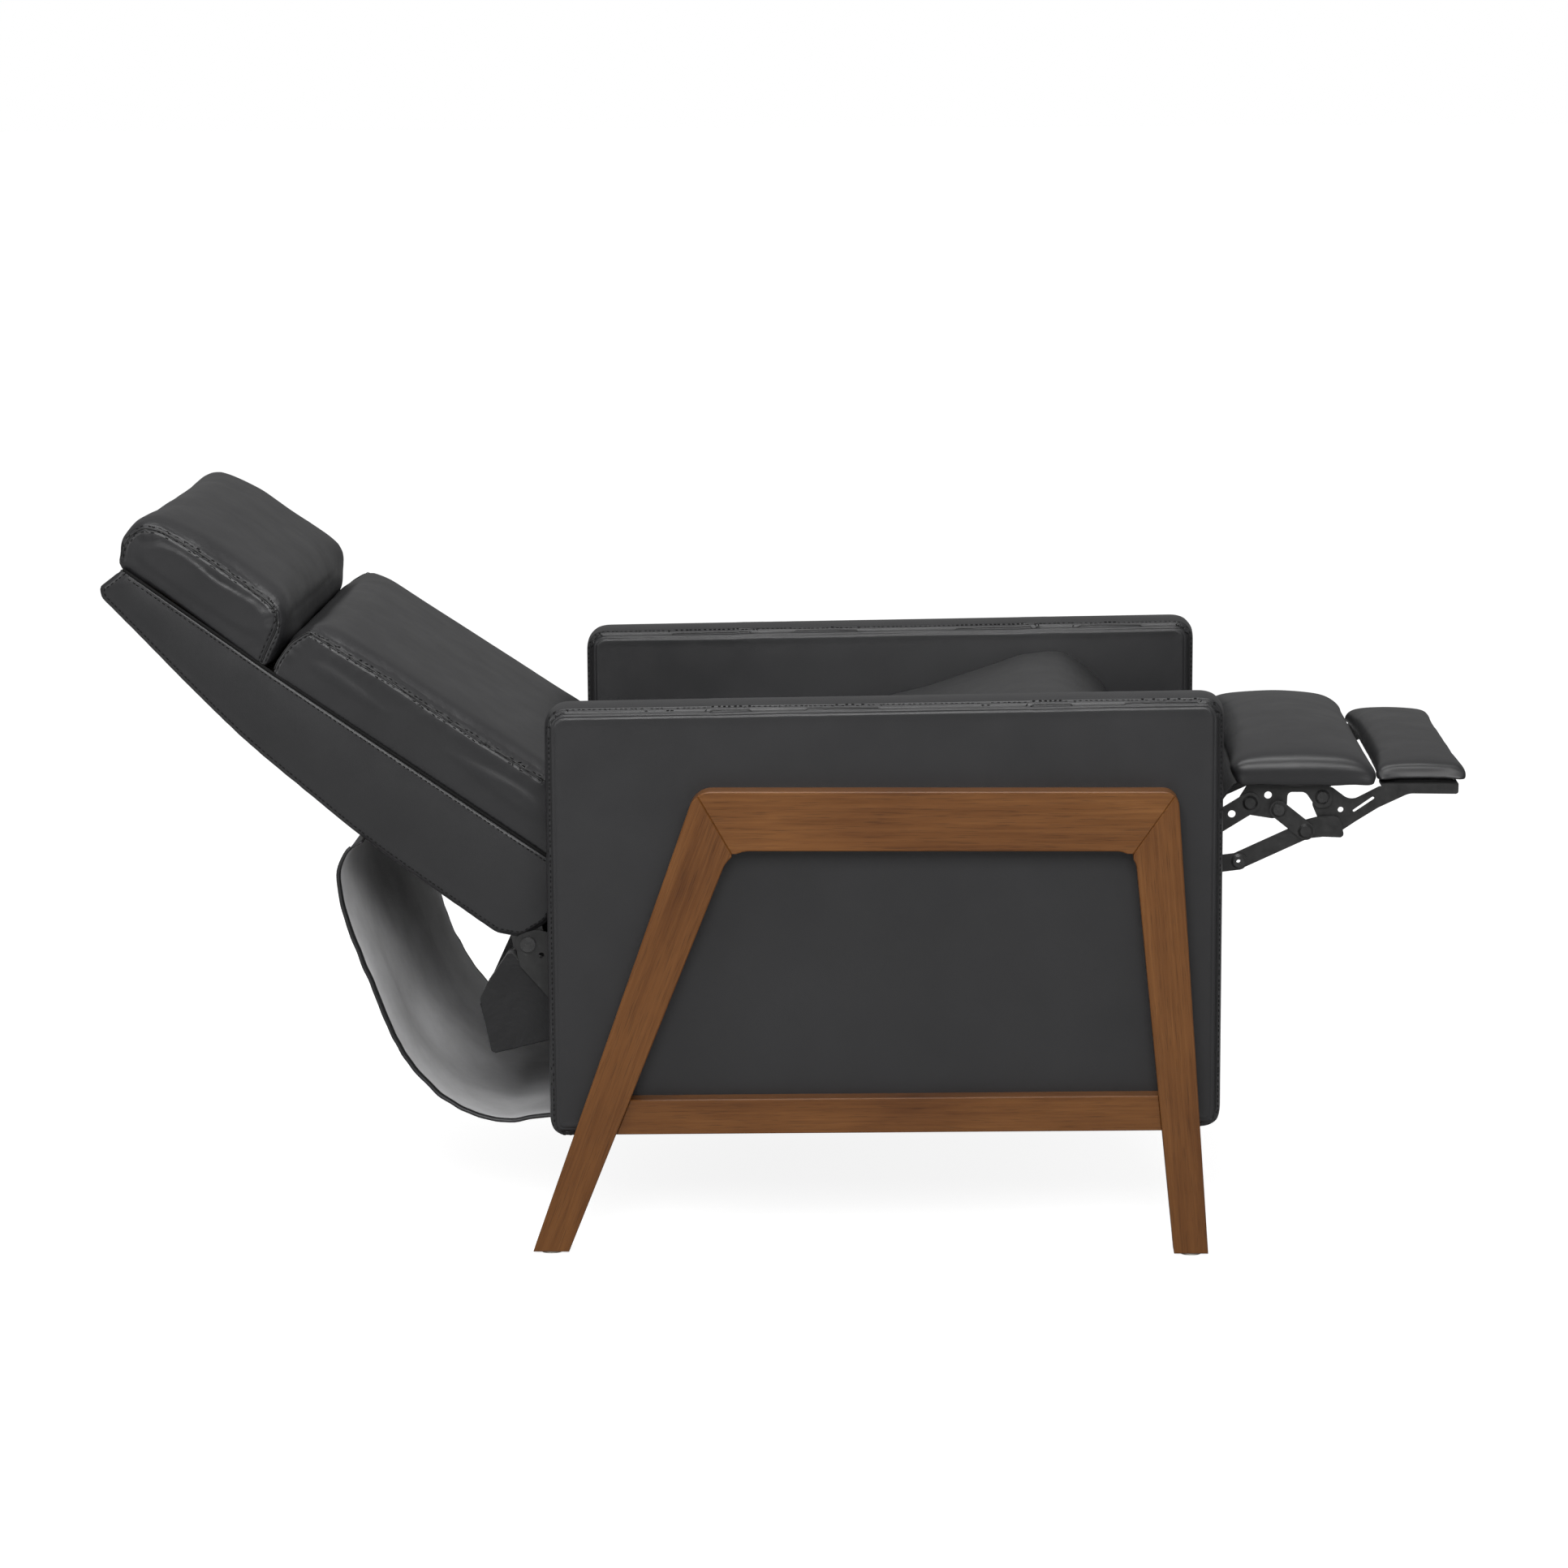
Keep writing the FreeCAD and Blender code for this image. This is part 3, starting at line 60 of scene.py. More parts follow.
# The camera that the photograph was taken with, its place as (x, z, y) in the same millimetres
CAMERA_PLACE = (-4.4, 1296.3, -4980.4)
CAMERA_YAW = -0.0341
CAMERA_PITCH = -0.1707
CAMERA_ROLL = -0.0061
FOCAL_SHARE = 5650.6 / 1932
SENSOR = 36.0

RECLINE_PIVOT = (-437.5, 308.0)
BACK_ANGLE = 33.0
BACK_COS, BACK_SIN = math.cos(math.radians(BACK_ANGLE)), math.sin(math.radians(BACK_ANGLE))
SEAT_CORNER = (-478.0, 189.0)
SEAT_PITCH = 14.0
SEAT_COS, SEAT_SIN = math.cos(math.radians(SEAT_PITCH)), math.sin(math.radians(SEAT_PITCH))

THREAD = 0.55 * MM
STITCH_ROW = 3.6 * MM
CORD = 0.9 * MM
CUSHION_STITCH = (0.0042, 0.0024)
ARM_STITCH = (0.0034, 0.0020)
SHELL_STITCH = (0.0036, 0.0018)


def at(x, z, y=0.0):
    """The scene's place for a side-view place and a distance to the far side, in millimetres."""
    return Vector((x * MM + SHIFT, y * MM, z * MM))


def back_at(s, n, y=0.0):
    """A place s up the back and n towards the sitter."""
    x, z = RECLINE_PIVOT
    return at(x - s * BACK_COS + n * BACK_SIN, z + s * BACK_SIN + n * BACK_COS, y)


def seat_at(u, w, y=0.0):
    """A place u forward along the seat box and w above its underside."""
    x, z = SEAT_CORNER
    return at(x + u * SEAT_COS - w * SEAT_SIN, z + u * SEAT_SIN + w * SEAT_COS, y)


def waver(x, y, z):
    """Smooth noise between -1 and 1."""
    return noise.noise(Vector((x, y, z)))


def link(item):
    bpy.context.scene.collection.objects.link(item)


# Materials

def new_material(name, colour, roughness, specular):
    material = bpy.data.materials.new(name)
    material.use_nodes = True
    shader = material.node_tree.nodes["Principled BSDF"]
    shader.inputs["Base Color"].default_value = (*colour, 1)
    shader.inputs["Roughness"].default_value = roughness
    shader.inputs["Specular IOR Level"].default_value = specular
    return material, material.node_tree, shader


def add(tree, kind, **inputs):
    node = tree.nodes.new(kind)
    for name, value in inputs.items():
        key = name.replace("_", " ")
        if key in node.inputs:
            node.inputs[key].default_value = value
        else:
            setattr(node, name, value)
    return node


def mapped(tree, source, **settings):
    """Coordinates moved, turned or stretched."""
    node = add(tree, "ShaderNodeMapping", **settings)
    tree.links.new(source, node.inputs["Vector"])
    return node.outputs["Vector"]


def coordinates(tree, scale=(1, 1, 1), turn=0.0):
    """Object coordinates, turned about Y and then stretched."""
    source = tree.nodes.new("ShaderNodeTexCoord").outputs["Object"]
    if turn:
        source = mapped(tree, source, Rotation=(0, turn, 0))
    return mapped(tree, source, Scale=scale)


def noise_map(tree, where, scale, detail=3.0, rough=0.5, distortion=0.0):
    node = add(tree, "ShaderNodeTexNoise", Scale=scale, Detail=detail, Roughness=rough,
               Distortion=distortion)
    tree.links.new(where, node.inputs["Vector"])
    return node.outputs["Fac"]


def ramp(tree, value, stops):
    node = tree.nodes.new("ShaderNodeValToRGB")
    elements = node.color_ramp.elements
    while len(elements) < len(stops):
        elements.new(0.5)
    for element, (place, colour) in zip(elements, stops):
        element.position = place
        element.color = (*colour, 1)
    tree.links.new(value, node.inputs["Fac"])
    return node.outputs["Color"]


def tint(tree, shader, value, stops):
    """Colours a look by a map."""
    tree.links.new(ramp(tree, value, stops), shader.inputs["Base Color"])


def spread(tree, value, low, high, start=0.0, end=1.0):
    node = add(tree, "ShaderNodeMapRange", From_Min=start, From_Max=end, To_Min=low, To_Max=high)
    tree.links.new(value, node.inputs["Value"])
    return node.outputs["Result"]


def polish(tree, shader, value, low, high):
    """Varies a look's roughness by a map."""
    tree.links.new(spread(tree, value, low, high, 0.3, 0.7), shader.inputs["Roughness"])


def combine(tree, operation, a, b):
    node = tree.nodes.new("ShaderNodeMath")
    node.operation = operation
    for socket, value in zip(node.inputs, (a, b)):
        if isinstance(value, (int, float)):
            socket.default_value = value
        else:
            tree.links.new(value, socket)
    return node.outputs["Value"]


def bump(tree, shader, layers):
    """Adds bump layers of (height output, distance in metres, strength)."""
    before = None
    for height, distance, strength in layers:
        node = add(tree, "ShaderNodeBump", Distance=distance, Strength=strength)
        tree.links.new(height, node.inputs["Height"])
        if before is not None:
            tree.links.new(before, node.inputs["Normal"])
        before = node.outputs["Normal"]
    tree.links.new(before, shader.inputs["Normal"])


def leather(name, tone=1.0, grain=1.0):
    """Satin black coated cloth with a fine pebble and faint creases."""
    material, tree, shader = new_material(name, (0.018, 0.018, 0.019), 0.38, 0.48)
    where = coordinates(tree)
    clouds = noise_map(tree, where, 6.0, 3.0, 0.5)
    dark, light = 0.0150 * tone, 0.0195 * tone
    tint(tree, shader, clouds, ((0.3, (dark, dark, dark * 1.07)), (0.72, (light, light, light * 1.07))))
    polish(tree, shader, noise_map(tree, where, 22.0, 4.0, 0.55), 0.34, 0.41)
    cells = add(tree, "ShaderNodeTexVoronoi", Scale=1100.0, Randomness=0.9)
    cells.feature = "DISTANCE_TO_EDGE"
    tree.links.new(where, cells.inputs["Vector"])
    pebble = spread(tree, cells.outputs["Distance"], 0.0, 1.0, 0.0, 0.35)
    creases = noise_map(tree, where, 140.0, 5.0, 0.6, 0.4)
    bump(tree, shader, ((noise_map(tree, where, 14.0, 2.0, 0.5), 0.003, 0.06),
                        (creases, 0.0002, 0.18 * grain), (pebble, 0.0001, 0.35 * grain)))
    return material


def wood(name, turn, seed):
    """Walnut-stained hardwood with its grain along the local X axis after the turn."""
    material, tree, shader = new_material(name, (0.135, 0.051, 0.013), 0.36, 0.28)
    along = mapped(tree, coordinates(tree, turn=turn), Location=(seed * 0.37, seed * 0.11, seed * 0.23))

    def grain(lengthwise, across, *settings):
        return noise_map(tree, mapped(tree, along, Scale=(lengthwise, across, across)), *settings)

    figure = grain(1.6, 14.0, 2.2, 5.0, 0.55, 0.35)
    lines = grain(3.0, 150.0, 2.0, 6.0, 0.62, 0.25)
    cloud = grain(3.0, 7.0, 3.0, 3.0, 0.5)
    flecks = grain(16.0, 620.0, 2.0, 2.0, 0.5)
    parts = [combine(tree, "MULTIPLY", value, share)
             for value, share in ((figure, 0.42), (lines, 0.36), (cloud, 0.22))]
    mixed = combine(tree, "ADD", combine(tree, "ADD", parts[0], parts[1]), parts[2])
    tone = ramp(tree, mixed, ((0.32, (0.066, 0.021, 0.0045)), (0.44, (0.118, 0.043, 0.0100)),
                              (0.55, (0.155, 0.060, 0.0150)), (0.68, (0.215, 0.088, 0.0240))))
    pores = spread(tree, flecks, 0.68, 1.0, 0.33, 0.43)
    shade = tree.nodes.new("ShaderNodeMix")
    shade.data_type = "RGBA"
    shade.blend_type = "MULTIPLY"
    shade.inputs["Factor"].default_value = 1.0
    tree.links.new(tone, shade.inputs[6])
    tree.links.new(pores, shade.inputs[7])
    tree.links.new(shade.outputs[2], shader.inputs["Base Color"])
    polish(tree, shader, lines, 0.30, 0.42)
    shader.inputs["Coat Weight"].default_value = 0.06
    shader.inputs["Coat Roughness"].default_value = 0.28
    bump(tree, shader, ((lines, 0.00025, 0.25), (pores, 0.00012, 0.5)))
    return material


def raw_wood(name, colour):
    material, tree, shader = new_material(name, colour, 0.75, 0.3)
    lines = noise_map(tree, coordinates(tree, (4.0, 60.0, 60.0)), 3.0, 5.0, 0.6)
    tint(tree, shader, lines, ((0.35, tuple(v * 0.6 for v in colour)), (0.65, colour)))
    bump(tree, shader, ((lines, 0.0004, 0.4),))
    return material


def painted_steel(name, tone, roughness):
    """Black paint over pressed steel, with a slight orange peel and rubbed patches."""
    material, tree, shader = new_material(name, (tone, tone, tone * 1.05), roughness, 0.5)
    where = coordinates(tree)
    rub = noise_map(tree, where, 120.0, 4.0, 0.6)
    polish(tree, shader, rub, roughness - 0.1, roughness + 0.1)
    stops = ((0.35, 0.7), (0.66, 1.15), (0.78, 2.4))
    tint(tree, shader, rub, [(place, (tone * share,) * 3) for place, share in stops])
    bump(tree, shader, ((noise_map(tree, where, 700.0, 2.0), 0.0001, 0.3),))
    return material


def plain_steel(name):
    material, tree, shader = new_material(name, (0.42, 0.42, 0.41), 0.38, 0.5)
    shader.inputs["Metallic"].default_value = 1.0
    brushed = noise_map(tree, coordinates(tree, (40.0, 900.0, 900.0)), 1.0, 3.0)
    polish(tree, shader, brushed, 0.28, 0.5)
    bump(tree, shader, ((brushed, 0.0001, 0.3),))
    return material


def nylon(name):
    material, tree, shader = new_material(name, (0.62, 0.61, 0.56), 0.45, 0.5)
    cloud = noise_map(tree, coordinates(tree), 90.0, 3.0)
    tint(tree, shader, cloud, ((0.3, (0.55, 0.54, 0.49)), (0.7, (0.66, 0.65, 0.6))))
    bump(tree, shader, ((cloud, 0.0002, 0.2),))
    return material


def cloth(name, colour, weave, crinkle):
    """Thin non-woven or knitted cloth."""
    material, tree, shader = new_material(name, colour, 0.72, 0.3)
    where = coordinates(tree)
    fibres = noise_map(tree, where, weave, 3.0, 0.7)
    cloud = noise_map(tree, where, 18.0, 4.0, 0.6)
    tint(tree, shader, cloud, ((0.3, tuple(v * 0.78 for v in colour)), (0.7, colour)))
    folds = noise_map(tree, coordinates(tree, (1.0, 0.5, 1.0)), 26.0, 5.0, 0.65, 1.2)
    shader.inputs["Sheen Weight"].default_value = 0.15
    bump(tree, shader, ((folds, 0.006, crinkle), (fibres, 0.0002, 0.6)))
    return material


def webbing_cloth(name):
    material, tree, shader = new_material(name, (0.05, 0.042, 0.038), 0.8, 0.3)
    wave = add(tree, "ShaderNodeTexWave", Scale=160.0, Distortion=0.4)
    wave.bands_direction = "Z"
    tree.links.new(coordinates(tree), wave.inputs["Vector"])
    tint(tree, shader, wave.outputs["Fac"], ((0.2, (0.03, 0.025, 0.022)), (0.8, (0.085, 0.07, 0.06))))
    bump(tree, shader, ((wave.outputs["Fac"], 0.0004, 0.5),))
    return material


def yarn(name, tone, roughness, specular, twist, detail, strength):
    """Matt black cord or thread with a fine twist."""
    material, tree, shader = new_material(name, (tone,) * 3, roughness, specular)
    bump(tree, shader, ((noise_map(tree, coordinates(tree), twist, detail), 0.0002, strength),))
    return material


LEATHER = leather("black_leather")
# Trim leather at about a third of the leather's tone: partly piping, partly painted shade of the seam
# grooves it lies in.
PIPING_WITH_PAINTED_SHADE = leather("black_piping_painted_seam_shade", 0.35, 0.6)
# Black thread set darker than the leather: partly its own colour, partly painted shade of the needle holes.
THREAD_WITH_PAINTED_SHADE = yarn("black_thread_painted_hole_shade", 0.005, 0.7, 0.2, 2500.0, 2.0, 0.6)
# A dark matt cord on the shell's rims: painted shade of the gap between the back cushions and the shell.
PAINTED_SHADE_CORD = yarn("painted_seam_shade_cord", 0.006, 0.75, 0.15, 600.0, 3.0, 0.5)
LINING = cloth("grey_lining", (0.62, 0.62, 0.63), 1200.0, 0.10)
NON_WOVEN = cloth("black_non_woven", (0.017, 0.017, 0.018), 1500.0, 0.5)
BLACK_STEEL = painted_steel("black_steel", 0.017, 0.42)
RIVET_STEEL = painted_steel("rivet_steel", 0.032, 0.27)
STEEL = plain_steel("plain_steel")
NYLON = nylon("nylon")
SOFTWOOD = raw_wood("softwood", (0.50, 0.35, 0.20))
WEBBING = webbing_cloth("webbing")


def give(look, *names):
    for name in names:
        mesh = NODES[name].data
        mesh.materials.clear()
        mesh.materials.append(look)


# The legs' leans from level: their rise over their run
LEG_RISE = 490.0
REAR_LEAN = math.atan2(LEG_RISE, 184.1)
FRONT_LEAN = math.atan2(LEG_RISE, -42.0)
STRETCHER_LEAN = 0.01
for number, side in enumerate(("right", "left")):
    give(wood(side + "_rail_wood", 0.0, number + 1.0), side + "_top_rail")
    give(wood(side + "_rear_wood", REAR_LEAN, number + 3.0), side + "_rear_leg")
    give(wood(side + "_front_wood", FRONT_LEAN, number + 5.0), side + "_front_leg")
    give(wood(side + "_stretcher_wood", STRETCHER_LEAN, number + 7.0), side + "_stretcher")
    give(SOFTWOOD, side + "_arm_frame", side + "_back_post")
    give(NON_WOVEN, side + "_seat_board")
    give(STEEL, side + "_slide_rail")
    give(BLACK_STEEL, side + "_carriage_plate")
give(SOFTWOOD, "seat_front_rail", "back_top_rail", "back_lower_rail")
give(NON_WOVEN, "front_cross_rail", "rear_cross_rail", "seat_rear_rail", "footrest_board", "flipper_board")
give(BLACK_STEEL, "link_mounts", "seat_hinge_plates", "back_brackets", "lower_links", "upper_links",
     "footrest_brackets", "flipper_brackets", "drive_links", "rocker_links", "flipper_links",
     "carriage_tubes")
give(RIVET_STEEL, "lower_link_rivets", "bracket_rivets", "recline_bolts", "tilt_bolts")
give(STEEL, "frame_bolts", "slide_rail_screws", "seat_springs")
give(NYLON, "slide_blocks", "floor_glides")
give(WEBBING, "back_webbing")


# Building blocks for the soft pieces

def smooth_faces(mesh):
    mesh.polygons.foreach_set("use_smooth", [True] * len(mesh.polygons))


def make_object(name, bm, look, smooth=True):
    mesh = bpy.data.meshes.new(name)
    bm.to_mesh(mesh)
    bm.free()
    mesh.materials.append(look)
    if smooth:
        smooth_faces(mesh)
    piece = bpy.data.objects.new(name, mesh)
    link(piece)
    return piece


def settle(piece):
    """Applies every modifier on the piece."""
    depsgraph = bpy.context.evaluated_depsgraph_get()
    mesh = bpy.data.meshes.new_from_object(piece.evaluated_get(depsgraph))
    old = piece.data
    piece.modifiers.clear()
    piece.data = mesh
    bpy.data.meshes.remove(old)
    smooth_faces(mesh)


def even_out(piece, voxel):
    """Remeshes a piece into even small faces."""
    remesh = piece.modifiers.new("remesh", "REMESH")
    remesh.mode = "VOXEL"
    remesh.voxel_size = voxel
    settle(piece)


def copy_of(node, name, voxel):
    """A new leather object from a CAD solid, in even small faces."""
    piece = bpy.data.objects.new(name, NODES[node].data.copy())
    piece.data.materials.clear()
    piece.data.materials.append(LEATHER)
    link(piece)
    even_out(piece, voxel)
    return piece


def places_of(mesh, kind="co"):
    values = np.empty(len(mesh.vertices) * 3)
    mesh.vertices.foreach_get(kind, values)
    return values.reshape(-1, 3)


def put_places(mesh, places):
    mesh.vertices.foreach_set("co", places.ravel())
    mesh.update()


def shrink(piece, amount):
    put_places(piece.data, places_of(piece.data) - places_of(piece.data, "normal") * amount)


def smoothed(mesh, values, rounds):
    """Values of the vertices, averaged with their neighbours' a number of times."""
    ends = np.empty(len(mesh.edges) * 2, dtype=np.int64)
    mesh.edges.foreach_get("vertices", ends)
    a, b = ends.reshape(-1, 2).T
    total = len(values)
    share = np.maximum(np.bincount(a, minlength=total) + np.bincount(b, minlength=total), 1)[:, None]
    for _ in range(rounds):
        around = [np.bincount(a, values[b, k], total) + np.bincount(b, values[a, k], total)
                  for k in range(3)]
        values = (values + np.stack(around, axis=1) / share) / 2
    return values


def soften(piece, rounds, depth):
    """Rounds off the edges of a piece, but not those within depth of its underside."""
    places = places_of(piece.data)
    share = np.clip((places[:, 2:] - places[:, 2].min()) / depth, 0, 1)
    calm = smoothed(piece.data, places, rounds)
    for axis in (0, 1):
        middle = (places[:, axis].max() + places[:, axis].min()) / 2
        calm[:, axis] = middle + (calm[:, axis] - middle) * np.ptp(places[:, axis]) / np.ptp(calm[:, axis])
    put_places(piece.data, places + (calm - places) * share)


PRESSURE = 4.0
FRAMES = 20


def inflate(piece, cap, crumple, rounds=30):
    """Blows the piece up as cloth, keeps its points within cap of their start and calms the crumples."""
    start = places_of(piece.data)
    modifier = piece.modifiers.new("cloth", "CLOTH")
    setting = modifier.settings
    setting.use_pressure = True
    setting.uniform_pressure_force = PRESSURE
    setting.effector_weights.gravity = 0
    setting.quality = 4
    setting.mass = 0.4
    setting.tension_stiffness = 18
    setting.compression_stiffness = 18
    setting.shear_stiffness = 8
    setting.bending_stiffness = 1.2
    setting.air_damping = 2
    modifier.collision_settings.use_collision = False
    modifier.point_cache.frame_start = 1
    modifier.point_cache.frame_end = FRAMES
    for number in range(1, FRAMES + 1):
        bpy.context.scene.frame_set(number)
    settle(piece)
    bpy.context.scene.frame_set(1)
    move = places_of(piece.data) - start
    length = np.linalg.norm(move, axis=1, keepdims=True)
    move = move * np.minimum(1.0, cap / np.maximum(length, 1e-9))
    calm = smoothed(piece.data, move, rounds)
    put_places(piece.data, start + calm + (move - calm) * crumple)


def finer(piece):
    """Splits every face once, smoothly."""
    modifier = piece.modifiers.new("subdivision", "SUBSURF")
    modifier.levels = 1
    modifier.render_levels = 1
    settle(piece)


def surface_of(piece):
    places = [v.co.copy() for v in piece.data.vertices]
    return BVHTree.FromPolygons(places, [tuple(p.vertices) for p in piece.data.polygons])


def resampled(points, step, closed=False):
    """Points every step metres along a path."""
    if closed:
        points = list(points) + [points[0]]
    result = [points[0].copy()]
    left = step
    for a, b in zip(points, points[1:]):
        length = (b - a).length
        done = 0.0
        while length - done >= left:
            done += left
            result.append(a.lerp(b, done / length))
            left = step
        left -= length - done
    return result


def smooth_path(points, step, rounds=3):
    """A resampled path with its corners eased."""
    path = resampled(points, step)
    for _ in range(rounds):
        inner = [(a + b * 2 + c) / 4 for a, b, c in zip(path, path[1:], path[2:])]
        path = [path[0], *inner, path[-1]]
    return path


def on_surface(tree, path):
    """The nearest points of a surface to a path, with their normals."""
    found = [tree.find_nearest(p) for p in path]
    return [f[0] for f in found], [f[1] for f in found]


def close_to(place, planes, finder, reach):
    """The nearest seam sample and its distance, or None where the place is further off than reach."""
    if min(abs(place[1] - y) for y in planes) > reach:
        return None
    _, index, distance = finder.find(place)
    return (index, distance) if distance < reach else None


def refine_near(piece, planes, finder, reach):
    """Splits the faces close to a seam once more."""
    bm = bmesh.new()
    bm.from_mesh(piece.data)
    near = {v.index for v in bm.verts if close_to(v.co, planes, finder, reach)}
    edges = [e for e in bm.edges if e.verts[0].index in near and e.verts[1].index in near]
    bmesh.ops.subdivide_edges(bm, edges=edges, cuts=1, use_grid_fill=True)
    bm.to_mesh(piece.data)
    bm.free()
    smooth_faces(piece.data)


def sew(piece, paths, depth=0.0016, width=0.0020, row=STITCH_ROW, roll=0.0004, pucker=0.0007,
        pitch=0.011, reach=0.02):
    """Draws the surface in along seams and their stitch rows, with small puckers across them."""
    tree = surface_of(piece)
    samples = []
    for number, path in enumerate(paths):
        spots, _ = on_surface(tree, path)
        run = 0.0
        for i, spot in enumerate(spots):
            if i:
                run += (spot - spots[i - 1]).length
            samples.append((spot, run + number * 3.1))
    finder = KDTree(len(samples))
    for i, (spot, _) in enumerate(samples):
        finder.insert(spot, i)
    finder.balance()
    planes = sorted({round(path[0].y, 5) for path in paths})
    refine_near(piece, planes, finder, reach * 0.85)
    if row:
        refine_near(piece, planes, finder, row + 0.0035)
    mesh = piece.data
    places, normals = places_of(mesh), places_of(mesh, "normal")
    for number, place in enumerate(places.tolist()):
        found = close_to(place, planes, finder, reach)
        if found is None:
            continue
        distance = found[1]
        run = samples[found[0]][1]
        groove = depth * math.exp(-(distance / width) ** 2)
        if row:
            groove += depth * 0.45 * math.exp(-((distance - row) / (width * 0.5)) ** 2)
        beside = roll * math.exp(-((distance - reach * 0.45) / (reach * 0.3)) ** 2)
        wave = waver(run / pitch, distance * 12.0, 0.7)
        across = math.exp(-((distance - row - 0.004) / (reach * 0.28)) ** 2)
        places[number] += normals[number] * (beside - groove + pucker * wave * across)
    put_places(mesh, places)


def ring(bm, centre, side, top, radius, corners):
    """A ring of vertices round a point."""
    angles = [k * 2 * math.pi / corners for k in range(corners)]
    return [bm.verts.new(centre + side * (math.cos(a) * radius) + top * (math.sin(a) * radius))
            for a in angles]


def skin(bm, rings, closed=False):
    """Faces from ring to ring, with a cap on each end unless they close."""
    count = len(rings[0])
    for a, b in zip(rings, rings[1:] + (rings[:1] if closed else [])):
        for k in range(count):
            bm.faces.new((a[k], a[(k + 1) % count], b[(k + 1) % count], b[k]))
    if not closed:
        bm.faces.new(rings[0][::-1])
        bm.faces.new(rings[-1])


def stitches(name, tree, path, offset, length, gap, lift=0.0002, radius=THREAD):
    """One row of thread lying beside a path on a surface."""
    spots, normals = on_surface(tree, path)
    bm = bmesh.new()
    pitch = length + gap
    run, due = 0.0, pitch * 0.5
    for i in range(1, len(spots)):
        step = (spots[i] - spots[i - 1]).length
        run += step
        if run < due or step < 1e-6:
            continue
        due += pitch
        tangent = (spots[i] - spots[i - 1]).normalized()
        side = tangent.cross(normals[i])
        if side.length < 1e-6:
            continue
        side.normalize()
        spot, normal = tree.find_nearest(spots[i] + side * offset)[:2]
        side = normal.cross(tangent).normalized()
        rings = []
        for along, size, sink in ((-0.5, 0.35, -0.8), (-0.3, 1.0, 0.0), (0.3, 1.0, 0.0), (0.5, 0.35, -0.8)):
            centre = spot + tangent * (along * length) + normal * (lift + sink * radius)
            rings.append(ring(bm, centre, side, normal, radius * size, 6))
        skin(bm, rings)
    return make_object(name, bm, THREAD_WITH_PAINTED_SHADE)


def joined(name, parts):
    """Merges several objects of one look into one."""
    bm = bmesh.new()
    for part in parts:
        bm.from_mesh(part.data)
    look = parts[0].data.materials[0]
    for part in parts:
        mesh = part.data
        bpy.data.objects.remove(part)
        bpy.data.meshes.remove(mesh)
    return make_object(name, bm, look)


def tube(name, points, radius, look, closed=False, sides=8):
    """A round cord through the points."""
    bm = bmesh.new()
    rings = []
    count = len(points)
    up = Vector((0, 1, 0))
    for i, point in enumerate(points):
        ahead = points[(i + 1) % count] if closed else points[min(i + 1, count - 1)]
        behind = points[i - 1] if closed or i else points[0]
        tangent = (ahead - behind).normalized()
        side = tangent.cross(up)
        if side.length < 1e-4:
            side = tangent.cross(Vector((0, 0, 1)))
        side.normalize()
        rings.append(ring(bm, point, side, side.cross(tangent), radius, sides))
    skin(bm, rings, closed)
    return make_object(name, bm, look)


def finished(piece, body, slot, *nodes):
    """Puts a piece on its body and in the place of its CAD nodes, which it hides. The slot is not used."""
    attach(piece, body)
    if nodes:
        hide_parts(*nodes)
    return piece


def seam_rows(label, piece, path, body):
    """A cord in the seam, its dark tone partly painted seam shade, and a row of thread on each side of it.
    """
    tree = surface_of(piece)
    rows = [stitches(f"{label}_row", tree, path, offset, *CUSHION_STITCH)
            for offset in (-STITCH_ROW, STITCH_ROW)]
    finished(joined(f"{label}_stitches", rows), body, "upholstery")
    spots = [p + n * 0.0003 for p, n in zip(*on_surface(tree, path))]
    finished(tube(f"{label}_cord", smooth_path(spots, 0.0025), CORD, PIPING_WITH_PAINTED_SHADE), body, "upholstery")


# Back and headrest cushions

BACK_LENGTH = 581.0
BEND_S = 379.0
HEADREST_SEAM = ((395, 103), (398, 121), (400, 139), (402, 148), (407, 156), (418, 161), (434, 164),
                 (457, 166), (490, 167), (525, 167), (552, 166), (564, 163), (574, 157), (580, 147),
                 (582, 133), (576, 116))
LUMBAR_SEAM = ((383, 102), (379, 150), (373, 160), (335, 160), (272, 162), (210, 160), (150, 160),
               (77, 160), (48, 154), (30, 142), (26, 95))
SIDE_Y = 247.0
RIM_Y = 246.2
RIM_EASE = 2.4
TUCK = 7.0
TUCK_HEIGHT = 16.0
CREASE_S = 385.0
CREASE_DEPTH = 40.0
CREASE_TOP = 158.0
CREASE_PUSH = 8.0
SIDE_BAND = 226.0
SIDE_FLAT = 247.6
SEAM_EASE = 1.8
SHOULDER = 36.0
SHOULDER_LOW = 118.0
SHOULDER_HIGH = 150.0


def back_frame(places):
    """How far up the back and how far from its pivot towards the sitter each place is, in millimetres."""
    x = (places[:, 0] - SHIFT) / MM - RECLINE_PIVOT[0]
    z = places[:, 2] / MM - RECLINE_PIVOT[1]
    return -x * BACK_COS + z * BACK_SIN, x * BACK_SIN + z * BACK_COS


def rim_height(s):
    """The height of the shell's rim over the back's base line."""
    lower = 90 + 9 * (s + 4) / (BEND_S + 4)
    upper = 99 + 9 * (s - BEND_S) / (BACK_LENGTH - 5 - BEND_S)
    return np.where(s < BEND_S, lower, upper)


def shoulder(piece, rise, drop):
    """Raises the top of a back cushion between its sides and lowers it where it turns down to its seams."""
    places = places_of(piece.data)
    _, n = back_frame(places)
    inside = np.clip((SIDE_Y - np.abs(places[:, 1]) / MM) / SHOULDER, 0, 1)
    share = np.clip((n - SHOULDER_LOW) / (SHOULDER_HIGH - SHOULDER_LOW), 0, 1)
    lift = ((rise + drop) * inside * (2 - inside) - drop) * share * MM
    places[:, 0] += lift * BACK_SIN
    places[:, 2] += lift * BACK_COS
    put_places(piece.data, places)


